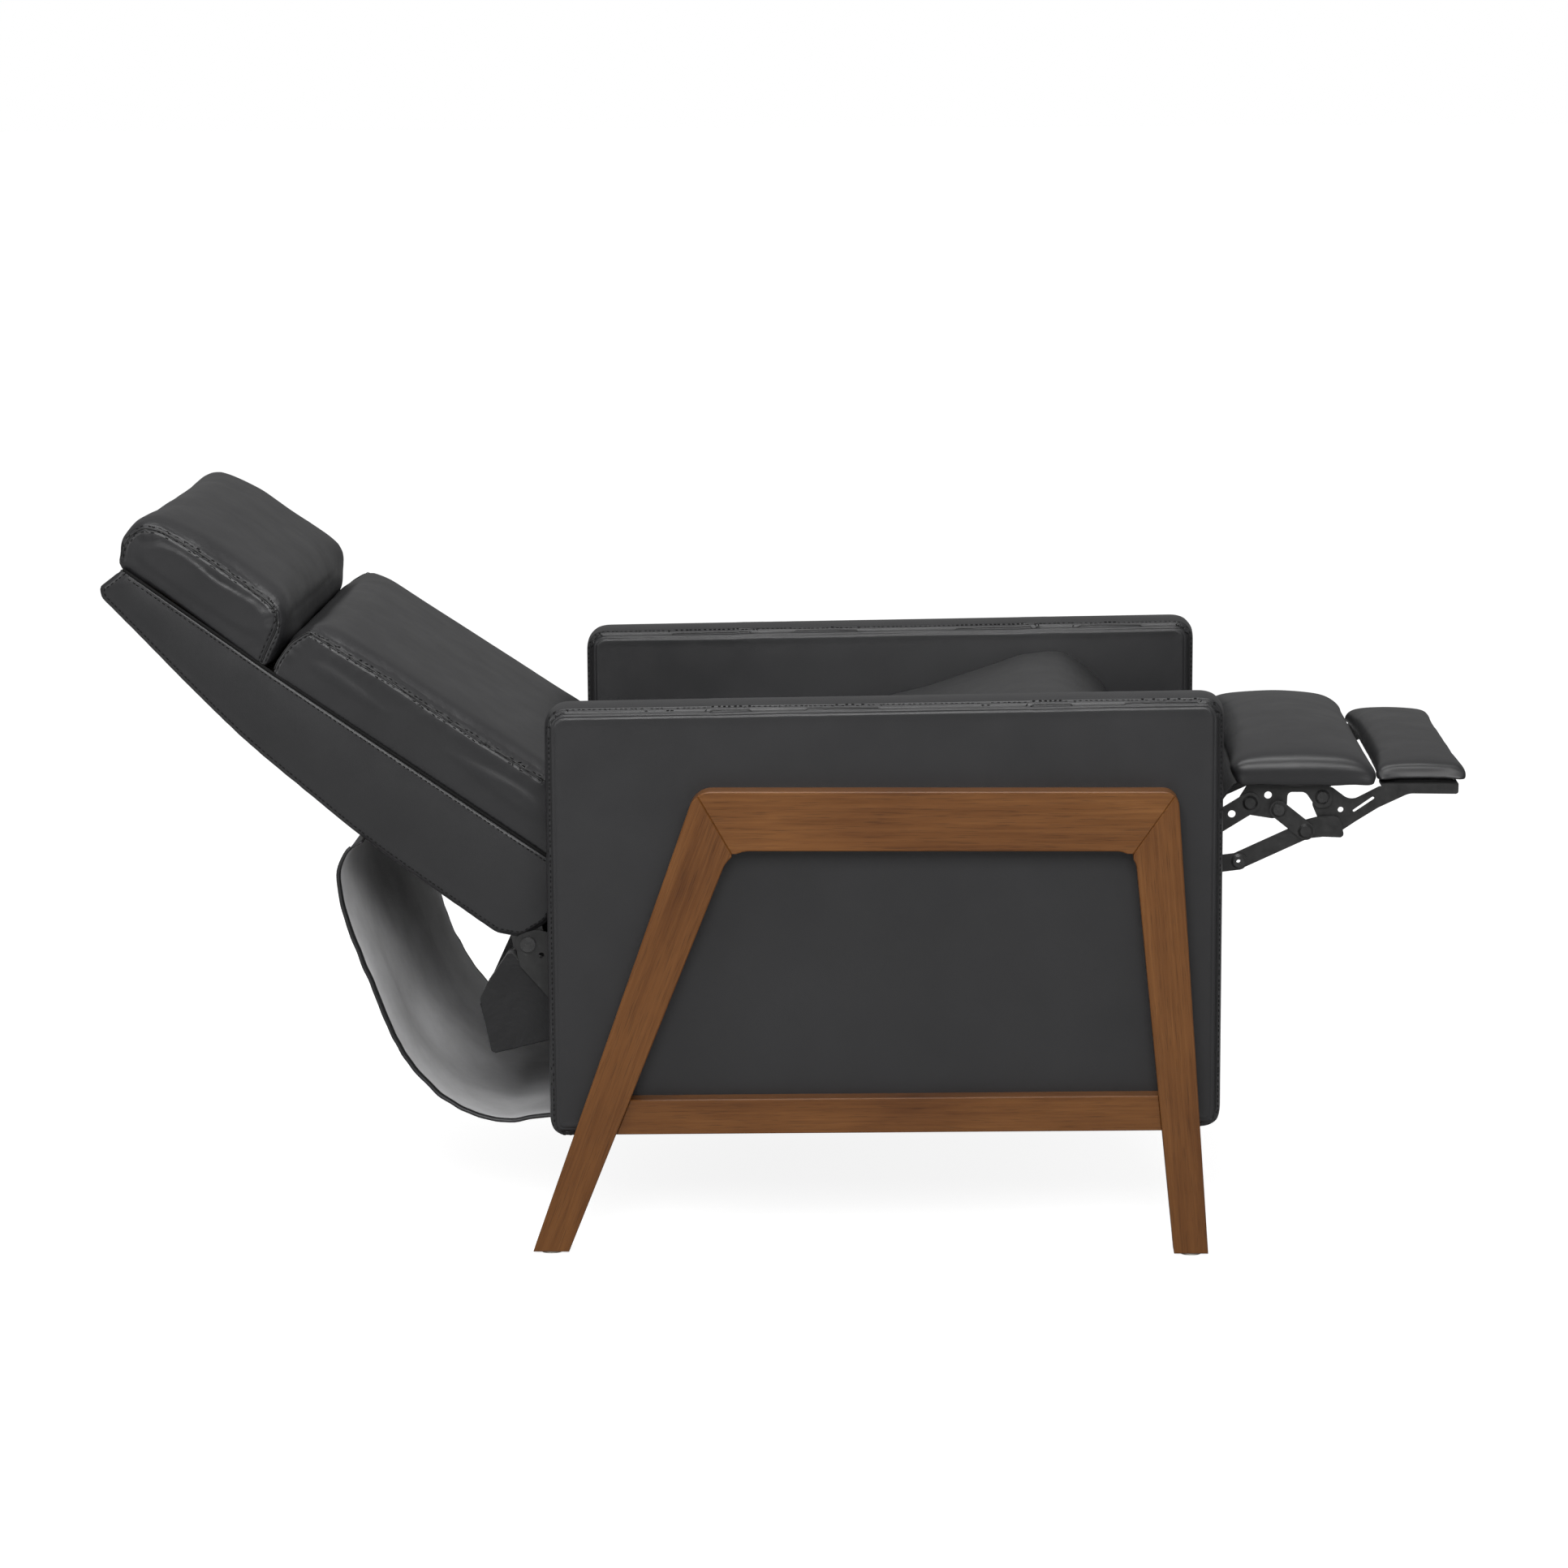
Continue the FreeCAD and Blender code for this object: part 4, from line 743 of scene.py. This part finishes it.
def depth_inside(s, n, outline):
    """How far inside a side-view outline each place lies in millimetres, below zero outside it."""
    a = np.array(outline, dtype=float)
    b = np.roll(a, -1, axis=0)
    step = b - a
    point = np.stack([s, n], axis=1)[:, None]
    along = np.clip(((point - a) * step).sum(2) / (step ** 2).sum(1), 0, 1)
    gap = np.linalg.norm(point - a - along[..., None] * step, axis=2).min(1)
    level = n[:, None]
    crossed = (a[:, 1] > level) != (b[:, 1] > level)
    rise = np.where(step[:, 1] == 0, 1e-9, step[:, 1])
    crossing = a[:, 0] + (level - a[:, 1]) * step[:, 0] / rise
    odd = (crossed & (s[:, None] < crossing)).sum(1) % 2
    return np.where(odd == 1, gap, -gap)


def flatten_sides(piece, outline):
    """Draws the side panels flat up to their seam."""
    places = places_of(piece.data)
    s, n = back_frame(places)
    side = np.abs(places[:, 1]) / MM
    near = side > SIDE_BAND
    share = np.zeros(len(places))
    share[near] = np.clip((depth_inside(s[near], n[near], outline) + SEAM_EASE) / (2 * SEAM_EASE), 0, 1)
    places[:, 1] += np.sign(places[:, 1]) * share * np.maximum(0, SIDE_FLAT - side) * MM
    put_places(piece.data, places)


def tuck(piece):
    """Draws the lower border of a back cushion down between the sides of the shell."""
    places = places_of(piece.data)
    s, n = back_frame(places)
    height = n - rim_height(s)
    near = np.clip(1 - height / TUCK_HEIGHT, 0, 1) ** 2
    places[:, 0] -= near * TUCK * MM * BACK_SIN
    places[:, 2] -= near * TUCK * MM * BACK_COS
    toward = 1.0 if "lumbar" in piece.name else -1.0
    reach = np.clip(1 - np.abs(s - CREASE_S) / CREASE_DEPTH, 0, 1) ** 0.7
    low = np.clip((CREASE_TOP - n) / 26.0, 0, 1)
    push = toward * CREASE_PUSH * reach * low * (3 - 2 * low) * low * MM
    places[:, 0] -= push * BACK_COS
    places[:, 2] += push * BACK_SIN
    limit = (RIM_Y + RIM_EASE * np.clip(height / 9.0, 0, 1) ** 0.7) * MM
    places[:, 1] = np.clip(places[:, 1], -limit, limit)
    put_places(piece.data, places)


SEAM_STEP = 1.5 * MM
SEAM_ROUNDS = 8
for node, seam, rise, drop in (("headrest_cushion", HEADREST_SEAM, 1.5, 4.0),
                               ("lumbar_cushion", LUMBAR_SEAM, 6.0, 1.0)):
    cushion = copy_of(node, node.replace("cushion", "pad"), 0.005)
    shrink(cushion, 0.001)
    inflate(cushion, 0.006, 0.06)
    finer(cushion)
    shoulder(cushion, rise, drop)
    flatten_sides(cushion, seam)
    tuck(cushion)
    paths = [smooth_path([back_at(s, n, y) for s, n in seam], SEAM_STEP, SEAM_ROUNDS)
             for y in (-SIDE_Y, SIDE_Y)]
    sew(cushion, paths)
    finished(cushion, "back", "upholstery", node)
    for label, path in zip(("right", "left"), paths):
        seam_rows(f"{label}_{node}", cushion, path, "back")

# Seat cushion

SEAT_SIDE = 244
SEAT_SEAM = ((241, 80), (236, 120), (240, 170), (247, 196), (262, 202), (330, 203), (420, 203), (500, 203),
             (560, 205), (620, 203), (655, 197), (683, 184), (703, 167), (716, 148), (724, 125), (722, 105),
             (712, 88), (700, 78))
seat = copy_of("seat_cushion", "seat_pad", 0.006)
shrink(seat, 0.002)
inflate(seat, 0.006, 0.06)
finer(seat)
paths = [smooth_path([seat_at(u, w, y) for u, w in SEAT_SEAM], SEAM_STEP, SEAM_ROUNDS)
         for y in (-SEAT_SIDE, SEAT_SIDE)]
sew(seat, paths)
finished(seat, "seat", "upholstery", "seat_cushion")
for label, path in zip(("right", "left"), paths):
    seam_rows(f"{label}_seat", seat, path, "seat")

# Footrest pads

CORNER_PULL = 5.0
BORDER = 16.0


def pull_corners(piece, reach):
    """Pulls the four corners of a pad outwards and down, as a pillow's corners are."""
    places = places_of(piece.data)
    low, high = places.min(axis=0), places.max(axis=0)
    for end, sign in ((low, -1), (high, 1)):
        for side, turn in ((low, -1), (high, 1)):
            gap = np.hypot(places[:, 0] - end[0], places[:, 1] - side[1])
            pull = np.exp(-(gap / reach) ** 2) * CORNER_PULL * MM
            places[:, 0] += pull * sign * 0.75
            places[:, 1] += pull * turn * 0.5
            places[:, 2] -= pull * 0.25
    put_places(piece.data, places)


def crown(piece, height, forward, rearward):
    """Fills the middle of a pad and draws its ends out."""
    places = places_of(piece.data)
    share = (places - places.min(axis=0)) / np.ptp(places, axis=0)
    dome = (1 - (2 * share[:, 0] - 1) ** 2) ** 0.8 * (1 - np.abs(2 * share[:, 1] - 1) ** 3)
    places[:, 2] += height * MM * dome * np.clip(share[:, 2] * 2 - 0.6, 0, 1)
    places[:, 0] += MM * (forward * share[:, 0] - rearward * (1 - share[:, 0]))
    put_places(piece.data, places)


def ruffle(piece, depth, amount, drop, flare):
    """A slightly low, uneven border at the sides, where the cover is drawn down over the board."""
    places = places_of(piece.data)
    low, high = places.min(axis=0), places.max(axis=0)
    near = np.clip(1 - (places[:, 2] - low[2]) / depth, 0, 1) ** 2
    for number, place in enumerate(places):
        if near[number] <= 0:
            continue
        wave = waver(place[0] * 38.0, place[1] * 38.0, 3.0)
        wave += 0.5 * waver(place[0] * 95.0, place[1] * 95.0, 8.0)
        side = min(1.0, max(0.0, (abs(place[1]) - high[1] + BORDER * MM) / (BORDER * MM)))
        place[2] += (wave * amount - drop * MM * side) * near[number]
        place[1] += math.copysign(flare * MM * side * near[number], place[1])
    put_places(piece.data, places)


for node, body, reach, rounds, height, forward, rearward, drop, flare in (
        ("footrest_pad", "footrest", 0.020, 34, 12.0, 3.0, 0.0, 5.5, 0.0),
        ("flipper_pad", "flipper", 0.014, 10, 5.0, 5.0, 2.0, 3.0, 10.5)):
    pad = copy_of(node, node + "_cover", 0.0042)
    soften(pad, rounds, 0.008)
    crown(pad, height, forward, rearward)
    inflate(pad, 0.004, 0.10, 16)
    finer(pad)
    pull_corners(pad, reach)
    ruffle(pad, 0.013, 0.0016, drop, flare)
    finished(pad, body, "upholstery", node)

# Arms

ARM_LENGTH = 694.0
ARM_BOTTOM = 120.6
ARM_HEIGHT = 448.6
ARM_SLOPE = math.tan(math.radians(0.96))
ARM_INNER = 260.0
ARM_OUTER = 326.0
ARM_CORNERS = ((0, 0, 12), (ARM_LENGTH, 0, 12), (ARM_LENGTH, ARM_HEIGHT, 18), (0, ARM_HEIGHT, 18))
ARM_VOXEL = 0.0055
ARM_EDGE = 0.006
ARM_FACE_PUFF = 0.0022
ARM_EDGE_PUFF = 0.0042
ARM_DRIFT = 0.0007
ARM_ROW = 5.2 * MM
ARM_SEAM_INSET = 1.2
ARM_SEAM = ((1.5, 1.5, 12), (ARM_LENGTH - 1.5, 1.5, 12), (ARM_LENGTH - 1.5, ARM_HEIGHT - 1.5, 17),
            (1.5, ARM_HEIGHT - 1.5, 17))


def rounded(corners, closed=True, step=2.0):
    """Side-view points along an outline whose corners (a, b, radius) are rounded."""
    points = []
    count = len(corners)
    for i, (a, b, radius) in enumerate(corners):
        here = Vector((a, b))
        if radius <= 0 or (not closed and i in (0, count - 1)):
            points.append(here)
            continue
        back = (Vector(corners[i - 1][:2]) - here).normalized()
        ahead = (Vector(corners[(i + 1) % count][:2]) - here).normalized()
        half = back.angle(ahead) / 2
        centre = here + (back + ahead).normalized() * (radius / math.sin(half))
        start = here + back * (radius / math.tan(half)) - centre
        end = here + ahead * (radius / math.tan(half)) - centre
        turn = start.angle_signed(end)
        pieces = max(2, int(abs(turn) * radius / step))
        for k in range(pieces + 1):
            angle = -turn * k / pieces
            c, s = math.cos(angle), math.sin(angle)
            points.append(centre + Vector((start.x * c - start.y * s, start.x * s + start.y * c)))
    return points


def arm_place(t, h, y):
    return at(ARM_REAR + t, ARM_BOTTOM + t * ARM_SLOPE + h, y)


def make_arm(side, sign):
    bm = bmesh.new()
    face = bm.faces.new([bm.verts.new(arm_place(p.x, p.y, sign * ARM_INNER)) for p in rounded(ARM_CORNERS)])
    grown = bmesh.ops.extrude_face_region(bm, geom=[face])
    moved = [v for v in grown["geom"] if isinstance(v, bmesh.types.BMVert)]
    bmesh.ops.translate(bm, verts=moved, vec=(0, sign * (ARM_OUTER - ARM_INNER) * MM, 0))
    rims = [e for e in bm.edges if abs(e.verts[0].co.y - e.verts[1].co.y) < 1e-6]
    bmesh.ops.bevel(bm, geom=rims, offset=ARM_EDGE, segments=4, profile=0.5, affect="EDGES")
    bmesh.ops.recalc_face_normals(bm, faces=bm.faces)
    arm = make_object(side + "_arm", bm, LEATHER)
    even_out(arm, ARM_VOXEL)
    places, normals = places_of(arm.data), places_of(arm.data, "normal")
    share = (places - places.min(axis=0)) / np.ptp(places, axis=0)
    full = (1 - (2 * share[:, 0] - 1) ** 6) * (1 - (2 * share[:, 2] - 1) ** 6)
    puff = np.where(normals[:, 1] * sign < -0.7, ARM_FACE_PUFF, 0.0) * full
    across = (np.abs(places[:, 1]) / MM - ARM_INNER) / (ARM_OUTER - ARM_INNER)
    edge = np.clip(1 - np.abs(normals[:, 1]) * 1.4, 0, 1)
    puff += ARM_EDGE_PUFF * np.clip(1 - (2 * across - 1) ** 2, 0, 1) * edge
    for number, place in enumerate(places):
        drift = waver(place[0] * 6.0 + sign * 5.0, place[1] * 6.0, place[2] * 6.0) * ARM_DRIFT
        puff[number] += drift * full[number]
    put_places(arm.data, places + normals * puff[:, None])
    finer(arm)
    seams = []
    for y in (sign * (ARM_OUTER - ARM_SEAM_INSET), sign * (ARM_INNER + ARM_SEAM_INSET)):
        loop = [arm_place(p.x, p.y, y) for p in rounded(ARM_SEAM)]
        seams.append(resampled(loop, SEAM_STEP, True))
    sew(arm, seams, depth=0.0014, width=0.0021, row=ARM_ROW, roll=0.0005, pucker=0.0001,
        pitch=0.012, reach=0.014)
    tree = surface_of(arm)
    middle = sign * (ARM_OUTER + ARM_INNER) / 2 * MM
    trims, rows = [], []
    for number, loop in enumerate(seams):
        spots = [p - n * 0.0002 for p, n in zip(*on_surface(tree, loop))]
        # Dark trim cords in the arm seams; their low tone is partly painted seam shade.
        trims.append(tube(f"{side}_arm_trim_{number}", spots[::2], 0.0008, PIPING_WITH_PAINTED_SHADE, True, 6))
        offset = ARM_ROW * stitch_side(tree, loop, middle)
        rows.append(stitches(f"{side}_arm_row_{number}", tree, loop, offset, *ARM_STITCH))
    finished(arm, "base", "cover_skin", side + "_arm_cover")
    finished(joined(f"{side}_arm_seams", trims), "base", "cover_skin")
    finished(joined(f"{side}_arm_stitches", rows), "base", "cover_skin")


def stitch_side(tree, loop, middle):
    """The sign of the side of a seam that lies towards the arm's middle."""
    spots, normals = on_surface(tree, loop[40:42])
    side = (spots[1] - spots[0]).normalized().cross(normals[1])
    return 1.0 if side.y * (middle - spots[0].y) > 0 else -1.0


make_arm("right", -1)
make_arm("left", 1)

# Back shell: the outside back and its two side panels

SHELL_HALF = 250.0
SHELL_ROUND = 7.0
SHELL_WALL = 0.0016
SHELL_OUTLINE = ((-4, 90, 0), (-4, 30, 12), (9, 3, 12), (34, -8, 14), (189.5, -2, 1100), (379, 22.5, 1000),
                 (573, 68.5, 8), (580, 77.5, 5), (569, 107, 0))
SHELL_RIM = ((-4, 90), (379, 99), (569, 107))


def even_points(points, count):
    """The same path as count points at even distances, in 2-D."""
    lengths = [0.0]
    for a, b in zip(points, points[1:]):
        lengths.append(lengths[-1] + (b - a).length)
    result = []
    for k in range(count):
        goal = lengths[-1] * k / (count - 1)
        i = 1
        while i < len(lengths) - 1 and lengths[i] < goal:
            i += 1
        span = max(lengths[i] - lengths[i - 1], 1e-9)
        result.append(points[i - 1].lerp(points[i], (goal - lengths[i - 1]) / span))
    return result


def sideways(path, i):
    """The direction square to a side-view path at its point i."""
    tangent = (path[min(i + 1, len(path) - 1)] - path[max(i - 1, 0)]).normalized()
    return Vector((-tangent.y, tangent.x))


def make_shell():
    stations = 190
    outline = even_points(rounded(SHELL_OUTLINE, False), stations)
    rim = even_points([Vector(p) for p in SHELL_RIM], stations)
    side_steps, round_steps, back_steps = 16, 5, 70
    bm = bmesh.new()
    rows = []
    for edge, lip in zip(outline, rim):
        inward = lip - edge
        depth = inward.length
        direction = inward.normalized() if depth > 1e-6 else Vector((0, 1))
        bend = min(SHELL_ROUND, depth * 0.4)
        half = []
        for i in range(side_steps):
            share = i / side_steps
            puff = 2.0 * math.sin(math.pi * share) * min(1.0, depth / 40)
            half.append((lip.lerp(edge + direction * bend, share), SHELL_HALF - 1.5 + puff * 0.7))
        for i in range(round_steps + 1):
            angle = math.pi / 2 * i / round_steps
            half.append((edge + direction * (bend * (1 - math.sin(angle))),
                         SHELL_HALF - 1.5 - bend * (1 - math.cos(angle))))
        row = [(p, -y) for p, y in half]
        inner = half[-1][1]
        for i in range(1, back_steps):
            row.append((edge, -inner + 2 * inner * i / back_steps))
        row += [(p, y) for p, y in half[::-1]]
        rows.append([bm.verts.new(back_at(p.x, p.y, y)) for p, y in row])
    for a, b in zip(rows, rows[1:]):
        for i in range(len(a) - 1):
            bm.faces.new((a[i], a[i + 1], b[i + 1], b[i]))
    bmesh.ops.remove_doubles(bm, verts=bm.verts, dist=0.00005)
    bmesh.ops.recalc_face_normals(bm, faces=bm.faces)
    shell = make_object("back_cover", bm, LEATHER)
    spot, normal = surface_of(shell).find_nearest(back_at(250, -40))[:2]
    if normal.dot(back_at(250, 60) - spot) > 0:
        shell.data.flip_normals()
    places, normals = places_of(shell.data), places_of(shell.data, "normal")
    for number, place in enumerate(places):
        flutter = waver(*place * 7.0) * 0.0009 + waver(*place * 21.0) * 0.0003
        places[number] = place + normals[number] * (flutter - 0.0006)
    put_places(shell.data, places)
    border = even_points(rounded(SHELL_OUTLINE, False), 400)[24:]
    seams = [resampled([back_at(p.x, p.y, y) for p in border], SEAM_STEP)
             for y in (-SHELL_HALF + 2, SHELL_HALF - 2)]
    sew(shell, seams, depth=0.0009, row=0.0, pucker=0.0003, reach=0.010)
    tree = surface_of(shell)
    wall = shell.modifiers.new("wall", "SOLIDIFY")
    wall.thickness = SHELL_WALL
    wall.offset = -1.0
    settle(shell)
    finished(shell, "back", "cover_skin", "back_shell")
    rows, shade_cords = [], []
    for y in (-1, 1):
        # Each rim gets a dark matt cord, painted shade of the gap between the cushions and the shell.
        rim = [back_at(a, b + 0.4, y * (SHELL_HALF - 2.4)) for a, b in SHELL_RIM]
        shade_cords.append(tube("shell_shade_cord", resampled(rim, 0.004), 0.0018, PAINTED_SHADE_CORD))
        lower = [p + sideways(border, i) * 5.5 for i, p in enumerate(border)]
        lower = resampled([back_at(p.x, p.y, y * (SHELL_HALF - 0.5)) for p in lower], SEAM_STEP)
        upper = resampled([back_at(a, b - 4.5, y * (SHELL_HALF - 0.5)) for a, b in SHELL_RIM], SEAM_STEP)
        rows += [stitches("shell_row", tree, line, 0.0, *SHELL_STITCH) for line in (lower, upper[8:-8])]
    finished(joined("back_cover_stitches", rows), "back", "cover_skin")
    finished(joined("back_cover_shade_cords", shade_cords), "back", "cover_skin")


make_shell()

# Hanging cloth

SKIRT_HALF = 244.0
SKIRT_NEAR = ((-611, 419), (-628, 408), (-637, 388), (-637, 366), (-630, 333), (-617, 298), (-605, 268),
              (-594, 236), (-583, 205), (-568, 178), (-547, 153), (-521, 132), (-490, 119), (-460, 115),
              (-437, 119), (-414, 121.9), (-392, 121.9))
SKIRT_FAR = ((-611, 421), (-621, 409), (-624, 388), (-620, 366), (-611, 333), (-600, 300), (-589, 268),
             (-579, 233), (-568, 208), (-551, 180), (-532, 157), (-512, 139), (-487, 126), (-460, 118.5),
             (-437, 119.5), (-414, 121.9), (-392, 121.9))
HEM_ROLL = 2.0


def two_sided(name, rows, thickness, look, inside_look, hem_columns):
    """A thin sheet from rows of points, with one look outside and in its hems and another inside."""
    bm = bmesh.new()
    count, width = len(rows), len(rows[0])

    def inside(i, j):
        along = rows[min(i + 1, count - 1)][j] - rows[max(i - 1, 0)][j]
        across = rows[i][min(j + 1, width - 1)] - rows[i][max(j - 1, 0)]
        return rows[i][j] + along.cross(across).normalized() * thickness

    outer = [[bm.verts.new(p) for p in row] for row in rows]
    inner = [[bm.verts.new(inside(i, j)) for j in range(width)] for i in range(count)]
    for i in range(count - 1):
        for j in range(width - 1):
            bm.faces.new((outer[i][j], outer[i][j + 1], outer[i + 1][j + 1], outer[i + 1][j]))
            face = bm.faces.new((inner[i + 1][j], inner[i + 1][j + 1], inner[i][j + 1], inner[i][j]))
            if hem_columns <= j < width - 1 - hem_columns:
                face.material_index = 1
    for i in range(count - 1):
        bm.faces.new((outer[i + 1][0], inner[i + 1][0], inner[i][0], outer[i][0]))
        bm.faces.new((outer[i][-1], inner[i][-1], inner[i + 1][-1], outer[i + 1][-1]))
    for j in range(width - 1):
        bm.faces.new((outer[0][j], inner[0][j], inner[0][j + 1], outer[0][j + 1]))
        bm.faces.new((outer[-1][j + 1], inner[-1][j + 1], inner[-1][j], outer[-1][j]))
    bmesh.ops.recalc_face_normals(bm, faces=bm.faces)
    piece = make_object(name, bm, look)
    piece.data.materials.append(inside_look)
    return piece


def eased_path(points, count):
    """Catmull-Rom curve through side-view points, evenly sampled."""
    points = [Vector(p) for p in points]
    points = [points[0] * 2 - points[1]] + points + [points[-1] * 2 - points[-2]]
    dense = []
    for i in range(1, len(points) - 2):
        a, b, c, d = points[i - 1:i + 3]
        for k in range(12):
            t = k / 12
            dense.append(0.5 * ((2 * b) + (c - a) * t + (2 * a - 5 * b + 4 * c - d) * t * t
                                + (3 * b - a - 3 * c + d) * t ** 3))
    dense.append(points[-2])
    return even_points(dense, count)


def cloth_rows(along, across, place):
    """Rows of points from a function of the row and the shares along and across a cloth."""
    return [[place(i, i / (along - 1), j / (across - 1)) for j in range(across)] for i in range(along)]


def make_skirt():
    along, across = 96, 98
    near, far = eased_path(SKIRT_NEAR, along), eased_path(SKIRT_FAR, along)

    def place(i, f, g):
        free = math.sin(math.pi * min(1.0, f * 1.05)) ** 0.7 if 0 < f < 0.95 else 0.0
        hang = 4.0 * math.sin(g * 11.0 + f * 2.2 + 0.6) * math.sin(math.pi * g) ** 0.5
        hang += 2.4 * math.sin(g * 23.0 - f * 5.0 + 1.0) * (0.4 + 0.6 * f)
        hang += 5.0 * waver(g * 3.2 + f * 1.6, f * 2.4, 1.3)
        hang += 1.6 * waver(g * 9.0 - f * 3.0, f * 5.0, 6.1)
        edge = min(g, 1 - g) * 2 * SKIRT_HALF
        ripple = 1.6 * math.exp(-edge / 14.0) * waver(f * 26.0, g * 2.0, 9.0)
        spot = near[i].lerp(far[i], g) + sideways(near, i) * ((hang + 2.0) * free + ripple * free)
        return at(spot.x, spot.y, -SKIRT_HALF + 2 * SKIRT_HALF * g)

    rows = cloth_rows(along, across, place)
    skirt = two_sided("rear_skirt_cloth", rows, 0.0018, LEATHER, LINING, 1)
    edges = [[row[k] for row in rows[3:]] for k in (0, -1)]
    hem = joined("rear_skirt_hem", [tube("hem", edge, HEM_ROLL * MM, LEATHER, sides=10) for edge in edges])
    finished(skirt, "back", "cover_skin", "rear_skirt")
    finished(hem, "back", "cover_skin")
    for piece in (skirt, hem):
        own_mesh(piece)


FLAP_HALF = 183.0
FLAP_PATH = ((338, 471), (322, 471), (311, 470), (303, 462), (292, 447), (272, 415), (254, 386), (240, 373),
             (222, 370), (205, 373), (188, 382), (176, 395), (168, 410), (162, 426))


def make_flap():
    along, across = 70, 70
    path = eased_path(FLAP_PATH, along)

    def place(i, f, g):
        free = math.sin(math.pi * f) if f > 0.16 else 0.0
        hang = 2.5 * math.sin(g * 14.0 + f * 3.0) + 3.0 * waver(g * 4.0, f * 3.0, 2.0)
        spot = path[i] + sideways(path, i) * (hang * free)
        return at(spot.x, spot.y, -FLAP_HALF + 2 * FLAP_HALF * g)

    rows = cloth_rows(along, across, place)
    flap = two_sided("footrest_flap_cloth", rows, 0.0016, LEATHER, LINING, 2)
    finished(flap, "seat", "cover_skin", "footrest_flap")
    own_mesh(flap)


COVER_HALF = 238.5


def make_dust_cover():
    """Thin black cloth under the seat box and up its rear rail, slightly wrinkled."""
    along, across = 90, 80
    path = even_points([Vector(p) for p in ((500, -0.9), (2.6, -0.9), (1.6, 0.4), (1.6, 54))], along)

    def place(i, f, g):
        p = path[i]
        edge = min(1.0, min(g, 1 - g) * 14, min(f, 1 - f) * 14)
        sag = (abs(waver(f * 6.0 + g * 3.0, g * 7.0, 0.4)) * 5.0
               + abs(waver(f * 17.0, g * 19.0 + f * 8.0, 3.4)) * 1.6) * edge
        spot = (p.x, p.y - sag) if p.y < 0 else (p.x - sag, p.y)
        return seat_at(*spot, -COVER_HALF + 2 * COVER_HALF * g)

    rows = cloth_rows(along, across, place)
    cover = two_sided("dust_cloth", rows, 0.0005, NON_WOVEN, NON_WOVEN, 0)
    finished(cover, "seat", "black_cloth", "dust_cover")


make_skirt()
make_flap()
make_dust_cover()

# Stage, lights and camera

FLOOR_HALF = 40.0
FLOOR_GLOW = 0.87
HORIZON_LIGHT = 0.22
ZENITH_LIGHT = 0.42


def seen_directly(tree):
    """1 for the camera's own rays, so that the white backdrop neither lights nor hazes the chair."""
    return tree.nodes.new("ShaderNodeLightPath").outputs["Is Camera Ray"]


def stage():
    """A pale floor that keeps the chair's shadow."""
    bm = bmesh.new()
    signs = ((-1, -1), (1, -1), (1, 1), (-1, 1))
    bm.faces.new([bm.verts.new((a * FLOOR_HALF, b * FLOOR_HALF, 0)) for a, b in signs])
    look, tree, shader = new_material("pale_floor", (0.45, 0.45, 0.45), 0.9, 0.1)
    glow = tree.nodes.new("ShaderNodeEmission")
    tree.links.new(combine(tree, "MULTIPLY", seen_directly(tree), FLOOR_GLOW), glow.inputs["Strength"])
    both = tree.nodes.new("ShaderNodeAddShader")
    tree.links.new(shader.outputs[0], both.inputs[0])
    tree.links.new(glow.outputs[0], both.inputs[1])
    tree.links.new(both.outputs[0], tree.nodes["Material Output"].inputs["Surface"])
    make_object("floor", bm, look, False)


def area_light(name, place, target, size, power):
    data = bpy.data.lights.new(name, "AREA")
    data.shape = "RECTANGLE"
    data.size, data.size_y = size
    data.energy = power
    light = bpy.data.objects.new(name, data)
    light.location = place
    aim = Vector(target) - Vector(place)
    light.rotation_euler = aim.to_track_quat("-Z", "Y").to_euler()
    link(light)


def lighting():
    world = bpy.data.worlds.new("studio")
    world.use_nodes = True
    tree = world.node_tree
    background = tree.nodes["Background"]
    background.inputs["Color"].default_value = (1, 1, 1, 1)
    split = tree.nodes.new("ShaderNodeSeparateXYZ")
    tree.links.new(tree.nodes.new("ShaderNodeTexCoord").outputs["Generated"], split.inputs["Vector"])
    height = split.outputs["Z"]
    studio = spread(tree, height, HORIZON_LIGHT, ZENITH_LIGHT, 0.05, 0.9)
    backdrop = spread(tree, height, 1.0, 0.0, 0.02, 0.05)
    shown = combine(tree, "MULTIPLY", backdrop, seen_directly(tree))
    tree.links.new(combine(tree, "MAXIMUM", shown, studio), background.inputs["Strength"])
    bpy.context.scene.world = world
    area_light("key", (0.1, -3.3, 2.2), (0.0, 0.0, 0.4), (2.0, 1.5), 86)
    area_light("fill", (-2.8, -2.2, 1.6), (-0.3, 0.0, 0.4), (1.4, 1.4), 22)
    area_light("top", (0.1, -0.5, 2.9), (0.0, 0.0, 0.4), (2.2, 1.0), 36)


def camera():
    level = math.cos(CAMERA_PITCH)
    ahead = Vector((math.sin(CAMERA_YAW) * level, math.cos(CAMERA_YAW) * level, math.sin(CAMERA_PITCH)))
    right = ahead.cross(Vector((0, 0, 1))).normalized()
    up = right.cross(ahead)
    c, s = math.cos(CAMERA_ROLL), math.sin(CAMERA_ROLL)
    right, up = right * c + up * s, up * c - right * s
    data = bpy.data.cameras.new("camera")
    data.sensor_width = SENSOR
    data.lens = FOCAL_SHARE * SENSOR
    data.clip_end = 200
    eye = bpy.data.objects.new("camera", data)
    turn = Matrix((right, up, -ahead)).transposed()
    eye.matrix_world = Matrix.Translation(at(*CAMERA_PLACE)) @ turn.to_4x4()
    link(eye)
    bpy.context.scene.camera = eye


stage()
lighting()
camera()
bpy.context.scene.view_settings.view_transform = "Standard"
